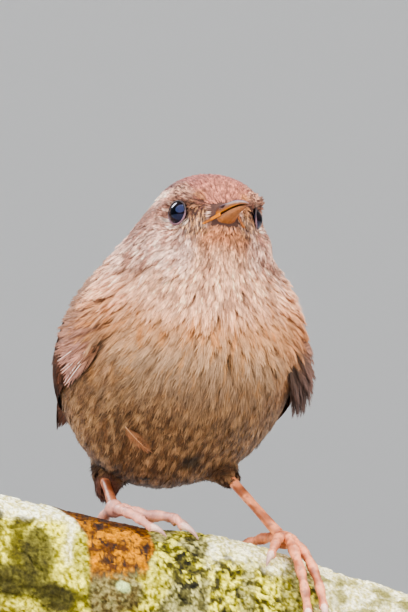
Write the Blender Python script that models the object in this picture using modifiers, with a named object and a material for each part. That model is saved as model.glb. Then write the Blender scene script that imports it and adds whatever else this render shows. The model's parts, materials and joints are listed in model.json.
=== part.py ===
"""A life-size Eurasian wren on a cut length of branch, held over a flat base by two short rods.

Units are metres and +Z is up. The origin is the middle of the base's underside, and the bird looks
along -Y. The bird's sizes are named below in millimetres, in three frames of their own:
  the bird's frame has axes forward, left and up, and its origin lies between the feet,
  the head's frame has the same axes turned with the head, and its origin lies between the eyes,
  the perch's frame has x along the world's X, and an angle that starts at the top of the branch
  and grows towards the bird's front.
"""

import math

import bmesh
import bpy
import numpy as np
from mathutils import Matrix, Vector

MM = 0.001
GAP = 0.3

# Where the bird stands, and how its body and head are turned
BIRD_ORIGIN = np.array([-6.6, -8.0, 60.2])
BODY_YAW, BODY_LEAN = 13.0, 5.0
HEAD_YAW, HEAD_PITCH, HEAD_ROLL = 21.0, 8.0, 2.5
EYES_MIDDLE = (19.0, 0.0, 51.9)

# The display stand and the perch
BASE_SIZE = (114.0, 86.0, 9.0)
BASE_EDGE_ROUND = 1.5
ROD_RADIUS = 2.0
ROD_X = 31.0
ROD_SINK = 4.0
PERCH_HALF_LENGTH = 52.0
PERCH_MIDDLE = np.array([0.0, -8.0, 47.45])
PERCH_DROP, PERCH_SWING, PERCH_BOW = 12.2, 5.0, 0.95
PERCH_RADIUS_HIGH, PERCH_RADIUS_LOW = 13.2, 12.0
BARK_DEPTH = 0.45

# The eyes, bill and mouth, in the head's frame
EYE_RADIUS = 2.3
EYE_OPENING = 1.85
EYE_SIDE = 6.85
EYE_TURN = 66.0
LID_RADIUS = 0.42
GAPE = (1.7, 5.2, -2.9)
MOUTH_AT_BILL = (4.6, -1.2)

# The legs
TARSUS_RADIUS = 0.78
HEEL_RADIUS = 1.25
TOE_RADIUS = 0.72
FOOT_RADIUS = 1.45

# The wings: lengths along a folded wing from its bend, and across it from its lower edge
WING_BEND = (11.5, 27.0)
WING_DROOP = 12.0
WING_DEPTH = 16.0
WING_CLEARANCE = 0.55
VANE_THICKNESS = 0.6

# The tail
TAIL_ROOT = (-22.5, 25.5)
TAIL_RISE = 38.0
TAIL_LENGTH = 33.0


def axes(yaw, pitch=0.0, roll=0.0):
    """Rows: forward, left and up in the world, for a body that faces -Y before it is turned."""
    y, p, r = (math.radians(a) for a in (yaw, pitch, roll))
    forward = np.array([math.sin(y) * math.cos(p), -math.cos(y) * math.cos(p), math.sin(p)])
    left = np.array([math.cos(y), math.sin(y), 0.0])
    up = np.cross(forward, left) * -1.0
    up = up if up[2] > 0 else -up
    rolled_left = left * math.cos(r) - up * math.sin(r)
    rolled_up = up * math.cos(r) + left * math.sin(r)
    return np.stack([forward, rolled_left, rolled_up])


def pitched(frame, degrees):
    """The frame with its forward axis raised by some degrees."""
    a = math.radians(degrees)
    turn = np.array([[math.cos(a), 0, math.sin(a)], [0, 1, 0], [-math.sin(a), 0, math.cos(a)]])
    return turn @ frame


BODY = axes(BODY_YAW, 0.0, BODY_LEAN)
HEAD = axes(HEAD_YAW, HEAD_PITCH, HEAD_ROLL)
HEAD_ORIGIN = BIRD_ORIGIN + np.array(EYES_MIDDLE) @ BODY


def from_body(point):
    return BIRD_ORIGIN + np.asarray(point, float) @ BODY


def from_head(point):
    return HEAD_ORIGIN + np.asarray(point, float) @ HEAD


# The masses of plumage that blend into the outline of head, neck and torso:
# name, frame, centre, half sizes, pitch of the long axis, and how softly it blends into the rest
MASSES = (
    ("belly", "body", (-3.5, 0.0, 27.9), (20.5, 18.8, 15.6), 38.0, 0.0),
    ("breast", "body", (7.0, 1.4, 32.9), (14.0, 15.4, 14.2), 60.0, 8.0),
    ("mantle", "body", (-4.0, 0.4, 35.2), (15.0, 12.8, 8.0), 42.0, 7.0),
    ("neck", "body", (11.0, -1.2, 45.0), (9.6, 11.7, 10.8), 70.0, 7.0),
    ("underbelly", "body", (-7.0, -1.5, 19.7), (11.0, 11.8, 9.5), 0.0, 3.0),
    ("rump", "body", (-18.5, 0.0, 22.5), (10.0, 9.0, 7.6), -22.0, 8.0),
    ("skull", "head", (-5.2, 0.0, 0.0), (9.0, 8.4, 7.6), -8.0, 4.5),
    ("crown", "head", (-5.0, 1.0, 2.7), (7.9, 8.2, 5.2), -4.0, 2.0),
    ("right_cheek", "head", (-5.0, -6.2, -5.0), (6.4, 4.5, 4.8), 30.0, 4.0),
    ("left_cheek", "head", (-4.0, 5.8, -4.8), (6.0, 4.3, 4.2), 20.0, 3.0),
)
# Round each eye a ball is taken out: its distance in front of the lids, its radius, and its softness
EYE_HOLLOW = (2.0, 2.8, 0.8)
# The cone of the face: its two ends in the head's frame, their radii, and its blend
FACE = ((-2.6, 0.0, -1.4), (3.2, 0.0, -0.75), 5.0, 1.75, 3.0)


def lid_frame(side):
    """The middle of an eye's opening in the world, and the way the eye looks. Side is -1 on the right."""
    turn = math.radians(EYE_TURN)
    look = np.array([math.cos(turn), side * math.sin(turn), 0.0]) @ HEAD
    return from_head((0.0, side * EYE_SIDE, 0.0)), look


def ellipsoid_distance(points, centre, half, frame):
    q = (points - centre) @ frame.T
    half = np.asarray(half)
    near = np.linalg.norm(q / half, axis=1)
    slope = np.linalg.norm(q / half**2, axis=1)
    return near * (near - 1.0) / np.maximum(slope, 1e-9)


def cone_distance(points, start, end, start_radius, end_radius):
    along = end - start
    t = np.clip((points - start) @ along / (along @ along), 0.0, 1.0)
    nearest = start + t[:, None] * along
    return np.linalg.norm(points - nearest, axis=1) - (start_radius + (end_radius - start_radius) * t)


def blended(a, b, softness):
    """The union of two distances with a fillet of about this size, in millimetres."""
    overlap = np.maximum(softness - np.abs(a - b), 0.0) / softness
    return np.minimum(a, b) - overlap**2 * softness * 0.25


def plumage(points):
    """About the distance in millimetres from the outline of head, neck and torso, negative inside."""
    distance = None
    for _, frame, centre, half, pitch, softness in MASSES:
        place, turned = (from_body, BODY) if frame == "body" else (from_head, HEAD)
        one = ellipsoid_distance(points, place(centre), half, pitched(turned, pitch))
        distance = one if distance is None else blended(distance, one, softness)
    start, end, start_radius, end_radius, softness = FACE
    face = cone_distance(points, from_head(start), from_head(end), start_radius, end_radius)
    distance = blended(distance, face, softness)
    ahead, radius, softness = EYE_HOLLOW
    for side in (-1, 1):
        opening, look = lid_frame(side)
        ball = np.linalg.norm(points - opening - look * ahead, axis=1) - radius
        distance = -blended(-distance, ball, softness)
    return distance


def new_object(name, bm, collection):
    bmesh.ops.recalc_face_normals(bm, faces=bm.faces)
    mesh = bpy.data.meshes.new(name)
    bm.to_mesh(mesh)
    bm.free()
    obj = bpy.data.objects.new(name, mesh)
    collection.objects.link(obj)
    return obj


def clear_scene():
    for obj in list(bpy.data.objects):
        bpy.data.objects.remove(obj)


def star_shape(centre, pole, segments, rings, level=0.0, reach=60.0):
    """A sphere whose points are drawn out from centre to where the plumage's distance is level."""
    bm = bmesh.new()
    bmesh.ops.create_uvsphere(bm, u_segments=segments, v_segments=rings, radius=1.0)
    turn = Vector((0, 0, 1)).rotation_difference(Vector(pole)).to_matrix()
    ways = np.array([turn @ v.co for v in bm.verts])
    near = np.zeros(len(ways))
    open_ended = np.ones(len(ways), bool)
    steps = np.arange(1.0, reach, 0.5)
    for step in steps:
        open_ended &= plumage(centre + ways * step) <= level
        near[open_ended] = step
    far = near + 0.6
    for _ in range(12):
        middle = (near + far) / 2
        inside = plumage(centre + ways * middle[:, None]) <= level
        near, far = np.where(inside, middle, near), np.where(inside, far, middle)
    for vert, way, distance in zip(bm.verts, ways, near):
        vert.co = Vector((centre + way * distance) * MM)
    return bm


def cut_away(bm, point, normal):
    """Removes what lies on the side of the plane that normal points to, and closes the cut."""
    bmesh.ops.bisect_plane(
        bm,
        geom=bm.verts[:] + bm.edges[:] + bm.faces[:],
        plane_co=Vector(np.asarray(point) * MM),
        plane_no=Vector(normal),
        clear_outer=True,
        dist=1e-7,
    )
    rim = [e for e in bm.edges if e.is_boundary]
    made = bmesh.ops.contextual_create(bm, geom=rim)
    bmesh.ops.triangulate(bm, faces=made["faces"])


def loft(sections):
    """A closed tube through rings of points, each ring a list of the same number of points."""
    bm = bmesh.new()
    rings = [[bm.verts.new(Vector(p * MM)) for p in ring] for ring in sections]
    count = len(rings[0])
    for low, high in zip(rings, rings[1:]):
        for i in range(count):
            j = (i + 1) % count
            bm.faces.new((low[i], low[j], high[j]))
            bm.faces.new((low[i], high[j], high[i]))
    for end in (rings[0], rings[-1]):
        face = bm.faces.new(end)
        bmesh.ops.triangulate(bm, faces=[face])
    return bm


def tube(name, path, radii, collection, sides=2):
    """A round tube along a path in millimetres, with its own radius at each point, as a mesh."""
    curve = bpy.data.curves.new(name, "CURVE")
    curve.dimensions = "3D"
    curve.bevel_depth = MM
    curve.bevel_resolution = sides
    curve.use_fill_caps = True
    spline = curve.splines.new("POLY")
    spline.points.add(len(path) - 1)
    for point, place, radius in zip(spline.points, path, radii):
        point.co = (*(np.asarray(place) * MM), 1.0)
        point.radius = radius
    made = bpy.data.objects.new(name, curve)
    collection.objects.link(made)
    bpy.context.view_layer.update()
    graph = bpy.context.evaluated_depsgraph_get()
    mesh = bpy.data.meshes.new_from_object(made.evaluated_get(graph))
    bm = bmesh.new()
    bm.from_mesh(mesh)
    bmesh.ops.remove_doubles(bm, verts=bm.verts, dist=1e-6)
    bpy.data.objects.remove(made)
    bpy.data.meshes.remove(mesh)
    return new_object(name, bm, collection)


def smooth_path(points, count):
    """Count points along a smooth curve through a few chosen ones."""
    p = np.asarray(points, float)
    p = np.concatenate([[2 * p[0] - p[1]], p, [2 * p[-1] - p[-2]]])
    made = []
    for t in np.linspace(0, len(points) - 1, count):
        i = min(int(t), len(points) - 2)
        s = t - i
        a, b, c, d = p[i : i + 4]
        made.append(
            0.5
            * (
                2 * b
                + (c - a) * s
                + (2 * a - 5 * b + 4 * c - d) * s**2
                + (3 * b - a - 3 * c + d) * s**3
            )
        )
    return np.array(made)


def boolean(obj, other, operation, solver="EXACT"):
    """Applies one Boolean with another object, or with each object of a collection, and removes them."""
    modifier = obj.modifiers.new(operation.title(), "BOOLEAN")
    modifier.operation = operation
    modifier.solver = solver
    if isinstance(other, bpy.types.Collection):
        modifier.operand_type = "COLLECTION"
        modifier.collection = other
        used = list(other.objects)
    else:
        modifier.object = other
        used = [other]
    bpy.context.view_layer.update()
    graph = bpy.context.evaluated_depsgraph_get()
    mesh = bpy.data.meshes.new_from_object(obj.evaluated_get(graph))
    obj.modifiers.clear()
    obj.data = mesh
    for gone in used:
        bpy.data.objects.remove(gone)
    if isinstance(other, bpy.types.Collection):
        bpy.data.collections.remove(other)


def keep_largest(obj):
    """Leaves only the largest closed surface of a mesh."""
    bm = bmesh.new()
    bm.from_mesh(obj.data)
    bmesh.ops.dissolve_degenerate(bm, edges=bm.edges, dist=5e-7)
    bmesh.ops.triangulate(bm, faces=bm.faces)
    unseen = set(bm.faces)
    surfaces = []
    while unseen:
        front = [unseen.pop()]
        surface = set(front)
        while front:
            for edge in front.pop().edges:
                for face in edge.link_faces:
                    if face in unseen:
                        unseen.discard(face)
                        surface.add(face)
                        front.append(face)
        surfaces.append(surface)
    kept = max(surfaces, key=lambda s: sum(f.calc_area() for f in s))
    gone = [f for s in surfaces if s is not kept for f in s]
    bmesh.ops.delete(bm, geom=gone, context="FACES")
    bm.to_mesh(obj.data)
    bm.free()


def working_collection(name):
    made = bpy.data.collections.new(name)
    bpy.context.scene.collection.children.link(made)
    return made


def painted(obj, colour, roughness, metallic=0.0):
    """Gives the object a material of its own and smooth shading that keeps its creases."""
    material = bpy.data.materials.new(obj.name)
    material.use_nodes = True
    surface = material.node_tree.nodes["Principled BSDF"]
    surface.inputs["Base Color"].default_value = (*colour, 1.0)
    surface.inputs["Roughness"].default_value = roughness
    surface.inputs["Metallic"].default_value = metallic
    obj.data.materials.clear()
    obj.data.materials.append(material)
    obj.data.shade_smooth()
    obj.data.set_sharp_from_angle(angle=math.radians(35))
    return obj


BROWN = (0.36, 0.22, 0.13)
BUFF = (0.50, 0.34, 0.23)
RUFOUS = (0.27, 0.13, 0.06)
HORN = (0.22, 0.15, 0.11)
LEG = (0.62, 0.33, 0.22)
BARK = (0.42, 0.40, 0.22)
BLACK = (0.01, 0.01, 0.012)
OAK = (0.30, 0.18, 0.10)
BRASS = (0.60, 0.45, 0.22)


# The stand and the perch


def perch_axis(x):
    """Points on the middle line of the branch at these distances along the world's X."""
    x = np.asarray(x, float)
    y = PERCH_MIDDLE[1] + x * math.tan(math.radians(PERCH_SWING))
    z = PERCH_MIDDLE[2] - x * math.tan(math.radians(PERCH_DROP)) + PERCH_BOW * (1.0 - (x / 34.0) ** 2)
    return np.stack([x, y, z], -1)


def perch_radius(x, angle):
    """The branch's radius with its broad swellings and hollows. Angles are in radians."""
    taper = (np.asarray(x) / PERCH_HALF_LENGTH + 1) / 2
    base = PERCH_RADIUS_HIGH + (PERCH_RADIUS_LOW - PERCH_RADIUS_HIGH) * taper
    swell = np.sin(0.11 * x + 1.0) + 0.6 * np.sin(2 * angle + 0.13 * x)
    swell = swell + 0.5 * np.sin(3 * angle - 0.21 * x + 2.0)
    return base + BARK_DEPTH * swell


def on_perch(x, degrees, lift=0.0):
    """A point this far above the bark, at x and at an angle from the top towards the bird's front."""
    angle = math.radians(degrees)
    r = perch_radius(x, angle) + lift
    return perch_axis(x) + np.array([0.0, -math.sin(angle), math.cos(angle)]) * r


def make_perch(parts, cutters):
    """The cut length of branch, with a drilled hole for each rod."""
    around, along = 24, 20
    sections = []
    for x in np.linspace(-PERCH_HALF_LENGTH, PERCH_HALF_LENGTH, along):
        angles = np.linspace(0, 360, around, endpoint=False)
        sections.append([on_perch(x, a) for a in angles])
    perch = new_object("perch", loft(sections), parts)
    for x in (-ROD_X, ROD_X):
        hole = add_rod("hole", x, GAP, cutters)
        boolean(perch, hole, "DIFFERENCE")
    keep_largest(perch)
    return painted(perch, BARK, 0.9)


def rod_span(x):
    """The heights at which a rod ends: inside the base and inside the perch."""
    underside = on_perch(x, 180.0)[2]
    return BASE_SIZE[2] - ROD_SINK, underside + ROD_SINK


def add_rod(name, x, grow, collection):
    low, high = rod_span(x)
    bm = bmesh.new()
    bmesh.ops.create_cone(
        bm,
        cap_ends=True,
        segments=16,
        radius1=(ROD_RADIUS + grow) * MM,
        radius2=(ROD_RADIUS + grow) * MM,
        depth=(high - low + 2 * grow) * MM,
    )
    middle = Vector((x, perch_axis(x)[1], (low + high) / 2)) * MM
    bmesh.ops.translate(bm, verts=bm.verts, vec=middle)
    return new_object(name, bm, collection)


def make_stand(parts, cutters):
    """The flat base with two blind holes, and the two rods that stand in them."""
    bm = bmesh.new()
    bmesh.ops.create_cube(bm, size=1.0)
    bmesh.ops.scale(bm, verts=bm.verts, vec=Vector(BASE_SIZE) * MM)
    bmesh.ops.translate(bm, verts=bm.verts, vec=Vector((0, 0, BASE_SIZE[2] / 2)) * MM)
    base = new_object("stand_base", bm, parts)
    bevel = base.modifiers.new("Edges", "BEVEL")
    bevel.width = BASE_EDGE_ROUND * MM
    bevel.segments = 3
    for x in (-ROD_X, ROD_X):
        boolean(base, add_rod("hole", x, GAP, cutters), "DIFFERENCE")
    painted(base, OAK, 0.45)
    for name, x in (("stand_rod_high", -ROD_X), ("stand_rod_low", ROD_X)):
        painted(add_rod(name, x, 0.0, parts), BRASS, 0.3, 1.0)


# The head, neck and torso


def eye_middle(side):
    opening, look = lid_frame(side)
    return opening - look * math.sqrt(EYE_RADIUS**2 - EYE_OPENING**2)


def eyeball(name, side, grow, collection, segments=18, rings=11):
    bm = bmesh.new()
    bmesh.ops.create_uvsphere(bm, u_segments=segments, v_segments=rings, radius=(EYE_RADIUS + grow) * MM)
    _, look = lid_frame(side)
    turn = Vector((0, 0, 1)).rotation_difference(Vector(look)).to_matrix().to_4x4()
    bm.transform(Matrix.Translation(Vector(eye_middle(side) * MM)) @ turn)
    return new_object(name, bm, collection)


def lid(side, collection):
    """The rim of the eyelids, a ring round the eye's opening."""
    opening, look = lid_frame(side)
    around, tube_sides = 18, 6
    across = np.cross(look, HEAD[2])
    across /= np.linalg.norm(across)
    other = np.cross(look, across)
    bm = bmesh.new()
    rows = []
    for a in np.linspace(0, 2 * math.pi, around, endpoint=False):
        out = across * math.cos(a) + other * math.sin(a)
        row = []
        for b in np.linspace(0, 2 * math.pi, tube_sides, endpoint=False):
            p = opening + out * (EYE_OPENING + 0.15 + LID_RADIUS * math.cos(b))
            p = p + look * LID_RADIUS * math.sin(b)
            row.append(bm.verts.new(Vector(p * MM)))
        rows.append(row)
    for i, row in enumerate(rows):
        following = rows[(i + 1) % around]
        for j in range(tube_sides):
            k = (j + 1) % tube_sides
            bm.faces.new((row[j], row[k], following[k], following[j]))
    return new_object("lid", bm, collection)


# Each jaw as stations along the bill: distance forward, half width, ridge height and edge height
UPPER_JAW = (
    (1.6, 2.6, 0.2, -1.0),
    (3.0, 2.1, 0.75, -0.95),
    (4.4, 1.75, 0.85, -0.95),
    (6.4, 1.35, 0.66, -0.90),
    (8.8, 0.98, 0.36, -0.84),
    (11.2, 0.62, -0.24, -1.02),
    (13.0, 0.34, -0.90, -1.36),
    (14.1, 0.12, -1.50, -1.70),
)
LOWER_JAW = (
    (1.6, 2.4, -2.5, -1.35),
    (3.0, 1.95, -2.45, -1.30),
    (4.4, 1.60, -2.35, -1.28),
    (6.4, 1.22, -2.12, -1.22),
    (8.8, 0.86, -1.86, -1.15),
    (11.2, 0.52, -1.86, -1.33),
    (12.8, 0.28, -1.92, -1.62),
    (13.6, 0.12, -1.98, -1.82),
)


def jaw(name, stations, grow, collection):
    """A half of the bill: flat along the mouth, and rounded to its ridge on the other side."""
    sections = []
    count = 9
    for i, (forward, half, ridge, edge) in enumerate(stations):
        if grow and i == 0:
            forward -= grow
        ring = []
        for a in np.linspace(0, math.pi, count):
            side = (half + grow) * math.cos(a)
            height = edge + (ridge + math.copysign(grow, ridge - edge) - edge) * math.sin(a) ** 0.85
            ring.append(from_head((forward, side, height)))
        way = math.copysign(grow, edge - ridge)
        for share in (-0.5, 0.5):
            ring.append(from_head((forward, (half + grow) * share, edge + way)))
        sections.append(ring)
    return new_object(name, loft(sections), collection)


def make_bill(parts, cutters):
    upper = jaw("upper_bill", UPPER_JAW, 0.0, parts)
    for side in (-1, 1):
        bm = bmesh.new()
        bmesh.ops.create_icosphere(bm, subdivisions=2, radius=1.0)
        for v in bm.verts:
            p = np.array(v.co) * (0.85, 0.42, 0.26)
            v.co = Vector(from_head((5.6 + p[0], side * 1.38 + p[1], 0.0 + p[2] - 0.12 * p[0])) * MM)
        boolean(upper, new_object("nostril", bm, cutters), "DIFFERENCE")
    keep_largest(upper)
    painted(upper, HORN, 0.35)
    painted(jaw("lower_bill", LOWER_JAW, 0.0, parts), (0.62, 0.36, 0.12), 0.4)


def mouth_slot(collection):
    """A thin plate that cuts the line of the mouth from the bill back to both corners of the gape."""
    bm = bmesh.new()
    bmesh.ops.create_cube(bm, size=1.0)
    front, back = np.array([MOUTH_AT_BILL[0], MOUTH_AT_BILL[1]]), np.array([GAPE[0], GAPE[2]])
    run = front - back
    long, rise = np.linalg.norm(run), math.atan2(run[1], run[0])
    for v in bm.verts:
        p = np.array(v.co) * (long, 3 * GAPE[1], 1.2 * GAP)
        f = (front[0] + back[0]) / 2 + p[0] * math.cos(rise) - p[2] * math.sin(rise)
        u = (front[1] + back[1]) / 2 + p[0] * math.sin(rise) + p[2] * math.cos(rise)
        v.co = Vector(from_head((f, p[1], u)) * MM)
    return new_object("mouth", bm, collection)


# The two cuts: a point and an upward normal in the frame named
NECK_CUT = ("body", (9.0, 0.0, 40.5), 62.0)
HEAD_CUT = ("head", (-5.2, 0.0, -5.4), 66.0)


def cut_plane(cut):
    frame, point, pitch = cut
    place, turned = (from_body, BODY) if frame == "body" else (from_head, HEAD)
    return place(point), pitched(turned, pitch)[0]


def make_head(parts, cutters):
    point, up = cut_plane(HEAD_CUT)
    bm = star_shape(from_head((-3.6, 0.0, -0.9)), HEAD[0], 34, 24)
    cut_away(bm, point + up * GAP / 2, -up)
    head = new_object("head", bm, parts)
    pieces = working_collection("head pieces")
    for side in (-1, 1):
        lid(side, pieces)
    boolean(head, pieces, "UNION", "MANIFOLD")
    for side in (-1, 1):
        boolean(head, eyeball("socket", side, GAP, cutters), "DIFFERENCE", "MANIFOLD")
    for stations in (UPPER_JAW, LOWER_JAW):
        boolean(head, jaw("pocket", stations, GAP, cutters), "DIFFERENCE", "MANIFOLD")
    boolean(head, mouth_slot(cutters), "DIFFERENCE", "MANIFOLD")
    keep_largest(head)
    return painted(head, BROWN, 0.85)


def make_neck(parts):
    head_point, head_up = cut_plane(HEAD_CUT)
    point, up = cut_plane(NECK_CUT)
    bm = star_shape(from_body((10.0, 0.0, 44.5)), up, 30, 20)
    cut_away(bm, head_point - head_up * GAP / 2, head_up)
    cut_away(bm, point + up * GAP / 2, -up)
    neck = new_object("neck", bm, parts)
    keep_largest(neck)
    return painted(neck, BUFF, 0.85)


def torso_shape(level):
    return star_shape(from_body((-3.0, 0.0, 28.0)), pitched(BODY, 38.0)[0], 34, 24, level)


def cut_clear_of_body(obj, cutters):
    """Takes from the object what lies in the body or within a gap of it."""
    clearance = new_object("clearance", torso_shape(GAP), cutters)
    boolean(obj, clearance, "DIFFERENCE", "MANIFOLD")
    keep_largest(obj)


def make_torso(parts):
    point, up = cut_plane(NECK_CUT)
    bm = torso_shape(0.0)
    cut_away(bm, point - up * GAP / 2, up)
    torso = new_object("torso", bm, parts)
    keep_largest(torso)
    return painted(torso, BUFF, 0.85)


# The feather vanes


def vane_section(middle, across, out, half, thickness):
    """The four corners of a section across a vane."""
    edge = thickness / 2
    return [
        middle - across * half - out * edge,
        middle + across * half - out * edge,
        middle + across * half + out * edge,
        middle - across * half + out * edge,
    ]


VANE_STATIONS = (0.0, 0.42, 0.85, 1.0)


def vane_width(t, tip_share):
    """The share of its full width that a vane has at t along it."""
    rise = min(1.0, 0.45 + 1.6 * t)
    past_tip = max(0.0, t - tip_share) / (1.0 - tip_share)
    fall = math.sqrt(max(0.0, 1.0 - past_tip**2))
    return rise * max(fall, 0.12)


def vane(name, sheet, root, tip, width, root_lift, tip_lift, collection, slant=0.0, bow=0.0):
    """A feather on a curved sheet, from root to tip in the sheet's own two lengths.

    Slant is how much its lower edge stands out over its upper edge, and bow bends it sideways.
    """
    root, tip = np.asarray(root, float), np.asarray(tip, float)
    way = (tip - root) / np.linalg.norm(tip - root)
    side = np.array([-way[1], way[0]])
    sections = []
    for t in VANE_STATIONS:
        centre = root + (tip - root) * t + side * bow * math.sin(math.pi * t)
        lift = root_lift + (tip_lift - root_lift) * t
        half = width / 2 * vane_width(t, 0.62)
        share = half / (width / 2)
        low, out_low = sheet(*(centre - side * half), lift + slant / 2 * share)
        high, out_high = sheet(*(centre + side * half), lift - slant / 2 * share)
        out = out_low + out_high
        out /= np.linalg.norm(out)
        across = (high - low) / 2
        half_real = np.linalg.norm(across)
        thickness = VANE_THICKNESS if t < 0.9 else VANE_THICKNESS * 0.7
        sections.append(vane_section((low + high) / 2, across / half_real, out, half_real, thickness))
    return new_object(name, loft(sections), collection)


def join(name, pieces, parts):
    """Unites a collection of closed pieces into one node."""
    first = pieces.objects[0]
    pieces.objects.unlink(first)
    parts.objects.link(first)
    boolean(first, pieces, "UNION", "MANIFOLD")
    keep_largest(first)
    first.name = name
    return first


def steepest(points):
    """The unit direction in which the plumage's distance grows fastest."""
    step = 0.05
    slope = [plumage(points + step * way) - plumage(points - step * way) for way in np.eye(3)]
    slope = np.stack(slope, -1)
    return slope / np.linalg.norm(slope, axis=1, keepdims=True)


def wing_sheet(side):
    """A function from lengths along and across a folded wing to a point and its outward normal.

    The sheet lies on the plumage of the body, and stands away from it towards the wing's tip.
    """
    droop = math.radians(WING_DROOP)
    way = np.array([-math.cos(droop), 0.0, -math.sin(droop)])
    over = np.array([-math.sin(droop), 0.0, math.cos(droop)])
    start = np.array([WING_BEND[0], 0.0, WING_BEND[1]])
    low, high, cell = np.array([-3.0, -4.0]), np.array([51.0, 20.0]), 1.0
    counts = ((high - low) / cell).astype(int) + 1
    a, b = np.meshgrid(*(low[k] + cell * np.arange(counts[k]) for k in (0, 1)), indexing="ij")
    a, b = a.ravel(), b.ravel()
    p = start + a[:, None] * way + b[:, None] * over
    roll = np.maximum(b - 2.0, 0.0) / WING_DEPTH
    p[:, 1] = side * (16.8 - 4.6 * (np.maximum(a - 14.0, 0.0) / 33.0) ** 1.6 - 6.0 * roll**2)
    world = from_body(p)
    hold = np.clip((a - 12.0) / 24.0, 0.0, 1.0)
    for _ in range(10):
        away = plumage(world) - WING_CLEARANCE
        away = np.where(away > 0, away * (1.0 - hold**1.5), away)
        world = world - steepest(world) * away[:, None] * 0.8
    world = world.reshape(*counts, 3)
    for _ in range(2):
        inner = world[1:-1, 1:-1]
        around = world[:-2, 1:-1] + world[2:, 1:-1] + world[1:-1, :-2] + world[1:-1, 2:]
        world[1:-1, 1:-1] = (inner * 2 + around) / 6
    normals = np.cross(np.gradient(world, axis=0), np.gradient(world, axis=1))
    normals *= side * np.sign(normals[25, 10] @ BODY[1])
    normals /= np.linalg.norm(normals, axis=2, keepdims=True)

    def between(grid, u, v):
        i, j = min(int(u), counts[0] - 2), min(int(v), counts[1] - 2)
        s, t = u - i, v - j
        row = grid[i, j : j + 2] * (1 - s) + grid[i + 1, j : j + 2] * s
        return row[0] * (1 - t) + row[1] * t

    def sheet(a, b, lift):
        u, v = (np.clip([a, b], low, high - 1e-3) - low) / cell
        normal = between(normals, u, v)
        normal /= np.linalg.norm(normal)
        return between(world, u, v) + normal * lift, normal

    return sheet


def wing_pad(sheet, collection):
    """The folded arm under the coverts, a lens that the roots of all the wing's feathers sink into."""
    along, across = np.linspace(-1.5, 21.0, 7), np.linspace(-1.0, 1.0, 6)
    sections = []
    for a in along:
        t = (a + 1.5) / 22.5
        half = 5.8 * math.sin(math.pi * min(0.97, max(0.06, t * 0.86 + 0.08))) ** 0.6
        middle = 6.4 + 1.6 * t
        lower, upper = [], []
        for c in across:
            thick = 0.35 + 1.3 * (1 - c * c) ** 0.7 * math.sin(math.pi * (0.08 + 0.86 * t)) ** 0.5
            point, normal = sheet(a, middle + c * half, 0.0)
            lower.append(point + normal * 0.05)
            upper.append(point + normal * thick)
        sections.append(lower + upper[::-1])
    return new_object("pad", loft(sections), collection)


def make_wing(side, parts, cutters):
    """One folded wing: primaries, secondaries, tertials, alula and the rows of coverts."""
    sheet = wing_sheet(side)
    pieces = working_collection("wing pieces")
    wing_pad(sheet, pieces)
    reach = (39.5, 44.0, 46.6, 47.0, 46.2, 44.6, 42.6)
    for i, tip in enumerate(reach):
        root, end = (7.0, 2.0 + 0.4 * i), (tip, 1.6 + 0.9 * i)
        vane("primary", sheet, root, end, 4.6, 0.40 + 0.06 * i, 0.35 + 0.12 * i, pieces, 0.4, -0.8)
    for i in range(4):
        root, end = (8.0, 5.0 + 1.2 * i), (40.5 - 1.4 * i, 7.6 + 1.3 * i)
        vane("secondary", sheet, root, end, 5.0, 0.80 + 0.08 * i, 1.15 + 0.12 * i, pieces, 0.4, -0.6)
    for i, tip in enumerate((35.0, 31.0, 26.5)):
        root, end = (9.0, 8.4 + 1.1 * i), (tip, 11.2 + 1.2 * i)
        vane("tertial", sheet, root, end, 5.6, 0.95 + 0.08 * i, 1.65 + 0.14 * i, pieces, 0.4, -0.4)
    for i in range(2):
        root, end = (4.0, 2.2 + 0.8 * i), (17.5 - 0.8 * i, 2.0 + 1.4 * i)
        vane("primary_covert", sheet, root, end, 2.8, 0.70 + 0.1 * i, 0.95 + 0.15 * i, pieces, 0.3)
    for i in range(6):
        root, end = (4.5, 3.8 + 1.2 * i), (17.2 - 0.3 * i, 4.6 + 1.6 * i)
        vane("greater_covert", sheet, root, end, 3.6, 1.00 + 0.06 * i, 1.75 + 0.08 * i, pieces, 0.4)
    for i in range(4):
        root, end = (0.5, 3.4 + 1.7 * i), (10.0 - 0.3 * i, 4.4 + 2.1 * i)
        vane("median_covert", sheet, root, end, 3.6, 0.90, 2.15 + 0.08 * i, pieces, 0.4)
    vane("alula", sheet, (1.0, 2.4), (11.5, 1.2), 2.6, 0.60, 1.20, pieces, 0.3)
    wing = join("wing_right" if side < 0 else "wing_left", pieces, parts)
    cut_clear_of_body(wing, cutters)
    return painted(wing, RUFOUS, 0.8)


def tail_sheet(a, b, lift):
    """The tail's own sheet: a is the length along it, b the distance to the left, slightly roofed."""
    rise = math.radians(TAIL_RISE)
    curl = 0.0035 * a * a
    out = np.array([math.sin(rise), 0.0, math.cos(rise)])
    way = np.array([-math.cos(rise), 0.0, math.sin(rise)])
    root = np.array([TAIL_ROOT[0], 0.0, TAIL_ROOT[1]])
    p = root + way * a + out * (lift + curl - 0.018 * b * b) + np.array([0.0, 1.0, 0.0]) * b
    return from_body(p), out @ BODY


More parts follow.
